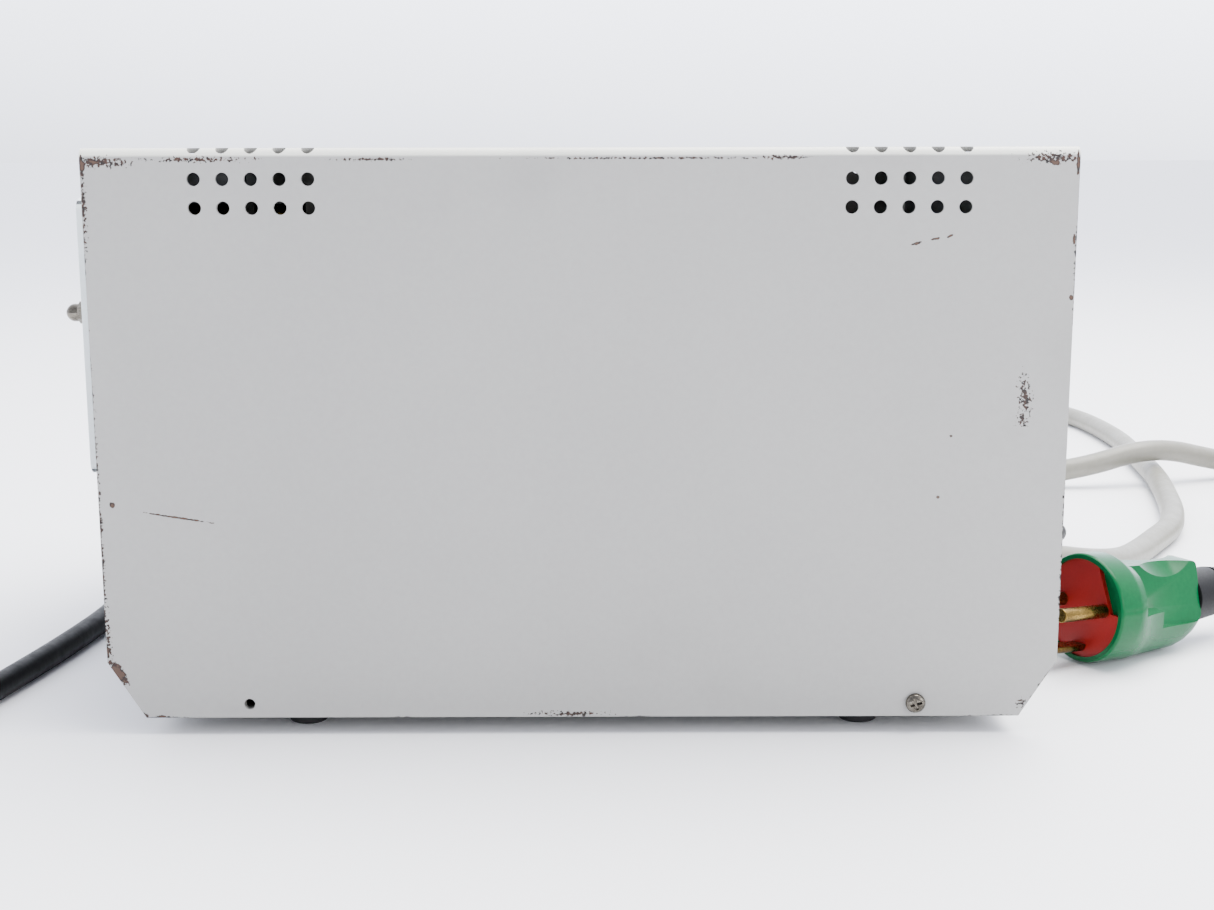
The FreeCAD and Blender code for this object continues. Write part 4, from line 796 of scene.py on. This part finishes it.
def makeScrew(turn):
    radius, height = screw["headRadius"], screw["headHeight"]
    piece = loft("screw", [
        (-screw["shankLength"], screw["shank"] - 0.4), (-screw["shankLength"] + 0.5, screw["shank"]),
        (0, screw["shank"]), (0, radius - 0.15), (0.15, radius), (height * 0.45, radius),
        (height * 0.75, radius - 0.35), (height * 0.93, radius - 1.0), (height, radius - 1.8)], steps=48)
    middle = height - screw["crossDepth"] / 2 + 0.2
    for side in ((screw["crossLength"], screw["crossWidth"]), (screw["crossWidth"], screw["crossLength"])):
        carve(piece, block("crossRecess", (side[0], side[1], screw["crossDepth"] + 0.4), (0, 0, middle)))
    modify(piece, "BEVEL", width=0.08 * mm, segments=2, limit_method="ANGLE", angle_limit=math.radians(40))
    moveTo(piece, Matrix.Rotation(math.radians(turn), 4, "Z"))
    return piece


def makeScrews():
    cover = []
    for side, x, turn in ((-1, screw["coverX"], 18), (1, screw["coverX"], 52), (1, -screw["coverX"], 77)):
        place = Vector((x, side * enamel["half"][1], screw["coverZ"])) * mm
        facing = Matrix.Rotation(math.radians(-90 * side), 4, "X")
        cover.append(moveTo(makeScrew(turn), Matrix.Translation(place) @ facing))
    coverScrews = joined(cover, "coverScrews")
    smooth(coverScrews, 38)
    wear(coverScrews, "cover_screws", materials["nickel"])
    head = []
    facing = Matrix.Rotation(math.radians(-90), 4, "Y")
    for y in screw["headY"]:
        for z in screw["headZ"]:
            place = Vector((screw["basePlateX"], y, z)) * mm
            head.append(moveTo(makeScrew(y + z), Matrix.Translation(place) @ facing))
    headScrews = joined(head, "headScrews")
    smooth(headScrews, 38)
    wear(headScrews, "head_screws", materials["zinc"])


softened("case_cover", 0.3, materials["enamel"])
softened("chassis_tray", 0.3, materials["zinc"])
softened("front_panel", 0.25, materials["panel"])
softened("rear_panel", 0.25, materials["panel"])
softened("rubber_feet", 0.9, materials["rubber"], segments=3)
makeScrews()
print("case is made")


# pump head

for node, width, name in (
        ("head_base", 0.6, "anodised"), ("head_block", 0.5, "blasted"), ("occlusion_bed", 0.5, "acetal"),
        ("cam_lever", 0.8, "abs"), ("hose_barbs", 0.4, "acetal"), ("head_cover", 0.35, "acrylic"),
        ("rotor_front_disc", 0.5, "anodised"), ("rotor_back_disc", 0.5, "anodised"), ("roller_pins", 0.4, "turned"),
        ("roller_1", 0.6, "acetal"), ("roller_2", 0.6, "acetal"), ("roller_3", 0.6, "acetal"),
        ("drive_shaft", 0.4, "turned"), ("rotor_sleeve", 0.4, "turned"), ("cap_nut", 0.35, "nickel"),
        ("guide_rods", 0.3, "turned"), ("cover_hinge_pin", 0.3, "turned"), ("cam_pin", 0.3, "turned"),
        ("head_bearing", 0.3, "turned")):
    softened(node, width, materials[name])


def coat(node, name):
    piece = cadNodes[node]
    if not piece.material_slots:
        piece.data.materials.append(None)
    for place in piece.material_slots:
        place.material = materials[name]


coat("pump_tube", "silicone")
coat("bed_springs", "turned")
print("pump head is made")


# controls on the front panel

knob = {
    "x": -136.5,
    "y": 20.0,
    "z": 42.0,
    "skirt": 14.5,
    "grip": 11.3,
    "height": 14.0,
    "ribs": 24,
    "ribDepth": 0.05,
    "pointer": 0.9,
    "dialRadius": 17.0,
    "tick": 2.2,
    "numberRadius": 22.0,
    "numberSize": 3.4,
    "sweep": 140.0,
    "steps": 11,
}
ink = {
    "thickness": 0.06,
    "panelX": -133.0,
    "width": 0.45,
    "switchY": -62.0,
    "switchMarks": (("1", 56.5), ("0", 27.5)),
}


def facePanel(x, y, z, turn=0.0):
    # +X of a flat mark runs to the reader's right and +Y up, as seen from in front of the panel
    axes = Matrix(((0, 0, -1), (-1, 0, 0), (0, 1, 0))).to_4x4()
    return Matrix.Translation(Vector((x, y, z)) * mm) @ axes @ Matrix.Rotation(math.radians(turn), 4, "Z")


def makeNumber(text, size, place):
    deselectAll()
    bpy.ops.object.text_add()
    mark = bpy.context.object
    mark.data.body = text
    mark.data.size = size * mm
    mark.data.align_x = "CENTER"
    mark.data.align_y = "CENTER"
    mark.data.extrude = ink["thickness"] * mm
    mark.data.resolution_u = 4
    makeActive(mark)
    bpy.ops.object.convert(target="MESH")
    mark = bpy.context.object
    return moveTo(mark, place)


def makeDial():
    marks = []
    for step in range(knob["steps"]):
        angle = -knob["sweep"] + 2 * knob["sweep"] * step / (knob["steps"] - 1)
        sine, cosine = math.sin(math.radians(angle)), math.cos(math.radians(angle))
        radius = knob["dialRadius"] + knob["tick"] / 2
        tick = block("tick", (ink["width"], knob["tick"], 2 * ink["thickness"]), (0, 0, 0))
        marks.append(moveTo(tick, facePanel(ink["panelX"], knob["y"] - radius * sine, knob["z"] + radius * cosine,
                                            -angle)))
        radius = knob["numberRadius"]
        marks.append(makeNumber(str(step), knob["numberSize"], facePanel(
            ink["panelX"], knob["y"] - radius * sine, knob["z"] + radius * cosine)))
    for text, z in ink["switchMarks"]:
        marks.append(makeNumber(text, knob["numberSize"], facePanel(ink["panelX"], ink["switchY"], z)))
    dial = joined(marks, "dialMarks")
    return wear(dial, "front_panel", materials["paint"], replace=False)


def makeKnob():
    place = Matrix.Translation(Vector((knob["x"], knob["y"], knob["z"])) * mm) @ Matrix.Rotation(
        math.radians(-90), 4, "Y")
    skirt = loft("speedKnob", [(-8.5, 2.9), (0, 2.9), (0, knob["skirt"] - 0.4), (0.3, knob["skirt"]),
                               (2.2, knob["skirt"] - 0.1), (3, knob["skirt"] - 1.2)], steps=96)
    grip = loft("knobGrip", [(2.8, knob["grip"] + 0.2), (4, knob["grip"]), (12.6, knob["grip"] - 0.8),
                             (13.6, knob["grip"] - 1.4), (knob["height"], knob["grip"] - 2.2),
                             (knob["height"] - 0.4, knob["grip"] - 3.4)], steps=192, ripple=knob["ribs"],
                depth=knob["ribDepth"])
    whole = joined([skirt, grip], "speedKnob")
    smooth(whole, 40)
    moveTo(whole, place)
    wear(whole, "speed_knob", materials["abs"])
    drop = block("pointerDrop", (0.3, knob["pointer"], 2.2), (knob["skirt"] - 0.05, 0, 1.2))
    top = block("pointerTop", (3.4, knob["pointer"], 0.25), (knob["skirt"] - 2.2, 0, 2.75))
    short = block("pointerCap", (5.5, knob["pointer"], 0.25), (5.4, 0, knob["height"] - 0.35))
    pointer = joined([drop, top, short], "knobPointer")
    modify(pointer, "BEVEL", width=0.08 * mm, segments=1)
    moveTo(pointer, place)
    wear(pointer, "speed_knob", materials["paint"], replace=False)


makeDial()
makeKnob()
for node, width, name in (
        ("power_switch", 0.4, "abs"), ("power_rocker", 0.5, "redPlastic"), ("direction_switch", 0.3, "nickel"),
        ("direction_toggle", 0.2, "nickel"), ("prime_switch", 0.4, "abs"), ("prime_button", 0.5, "redPlastic"),
        ("power_lamp", 0.2, "amber"), ("fuse_holder", 0.4, "abs"), ("speed_pot", 0.3, "zinc")):
    softened(node, width, materials[name])
print("controls are made")


# inside the case

for node, name in (
        ("gear_plates", "zinc"), ("gear_pillars", "brass"), ("output_gear", "acetal"), ("motor_pinion", "brass"),
        ("motor_shaft", "turned"), ("gear_motor", "zinc"), ("transformer_core", "laminations"),
        ("transformer_winding", "tape"), ("control_board", "board"), ("board_standoffs", "brass"),
        ("board_components", "epoxy"), ("heat_sink", "blackAnodised")):
    coat(node, name)
print("inside is coated")
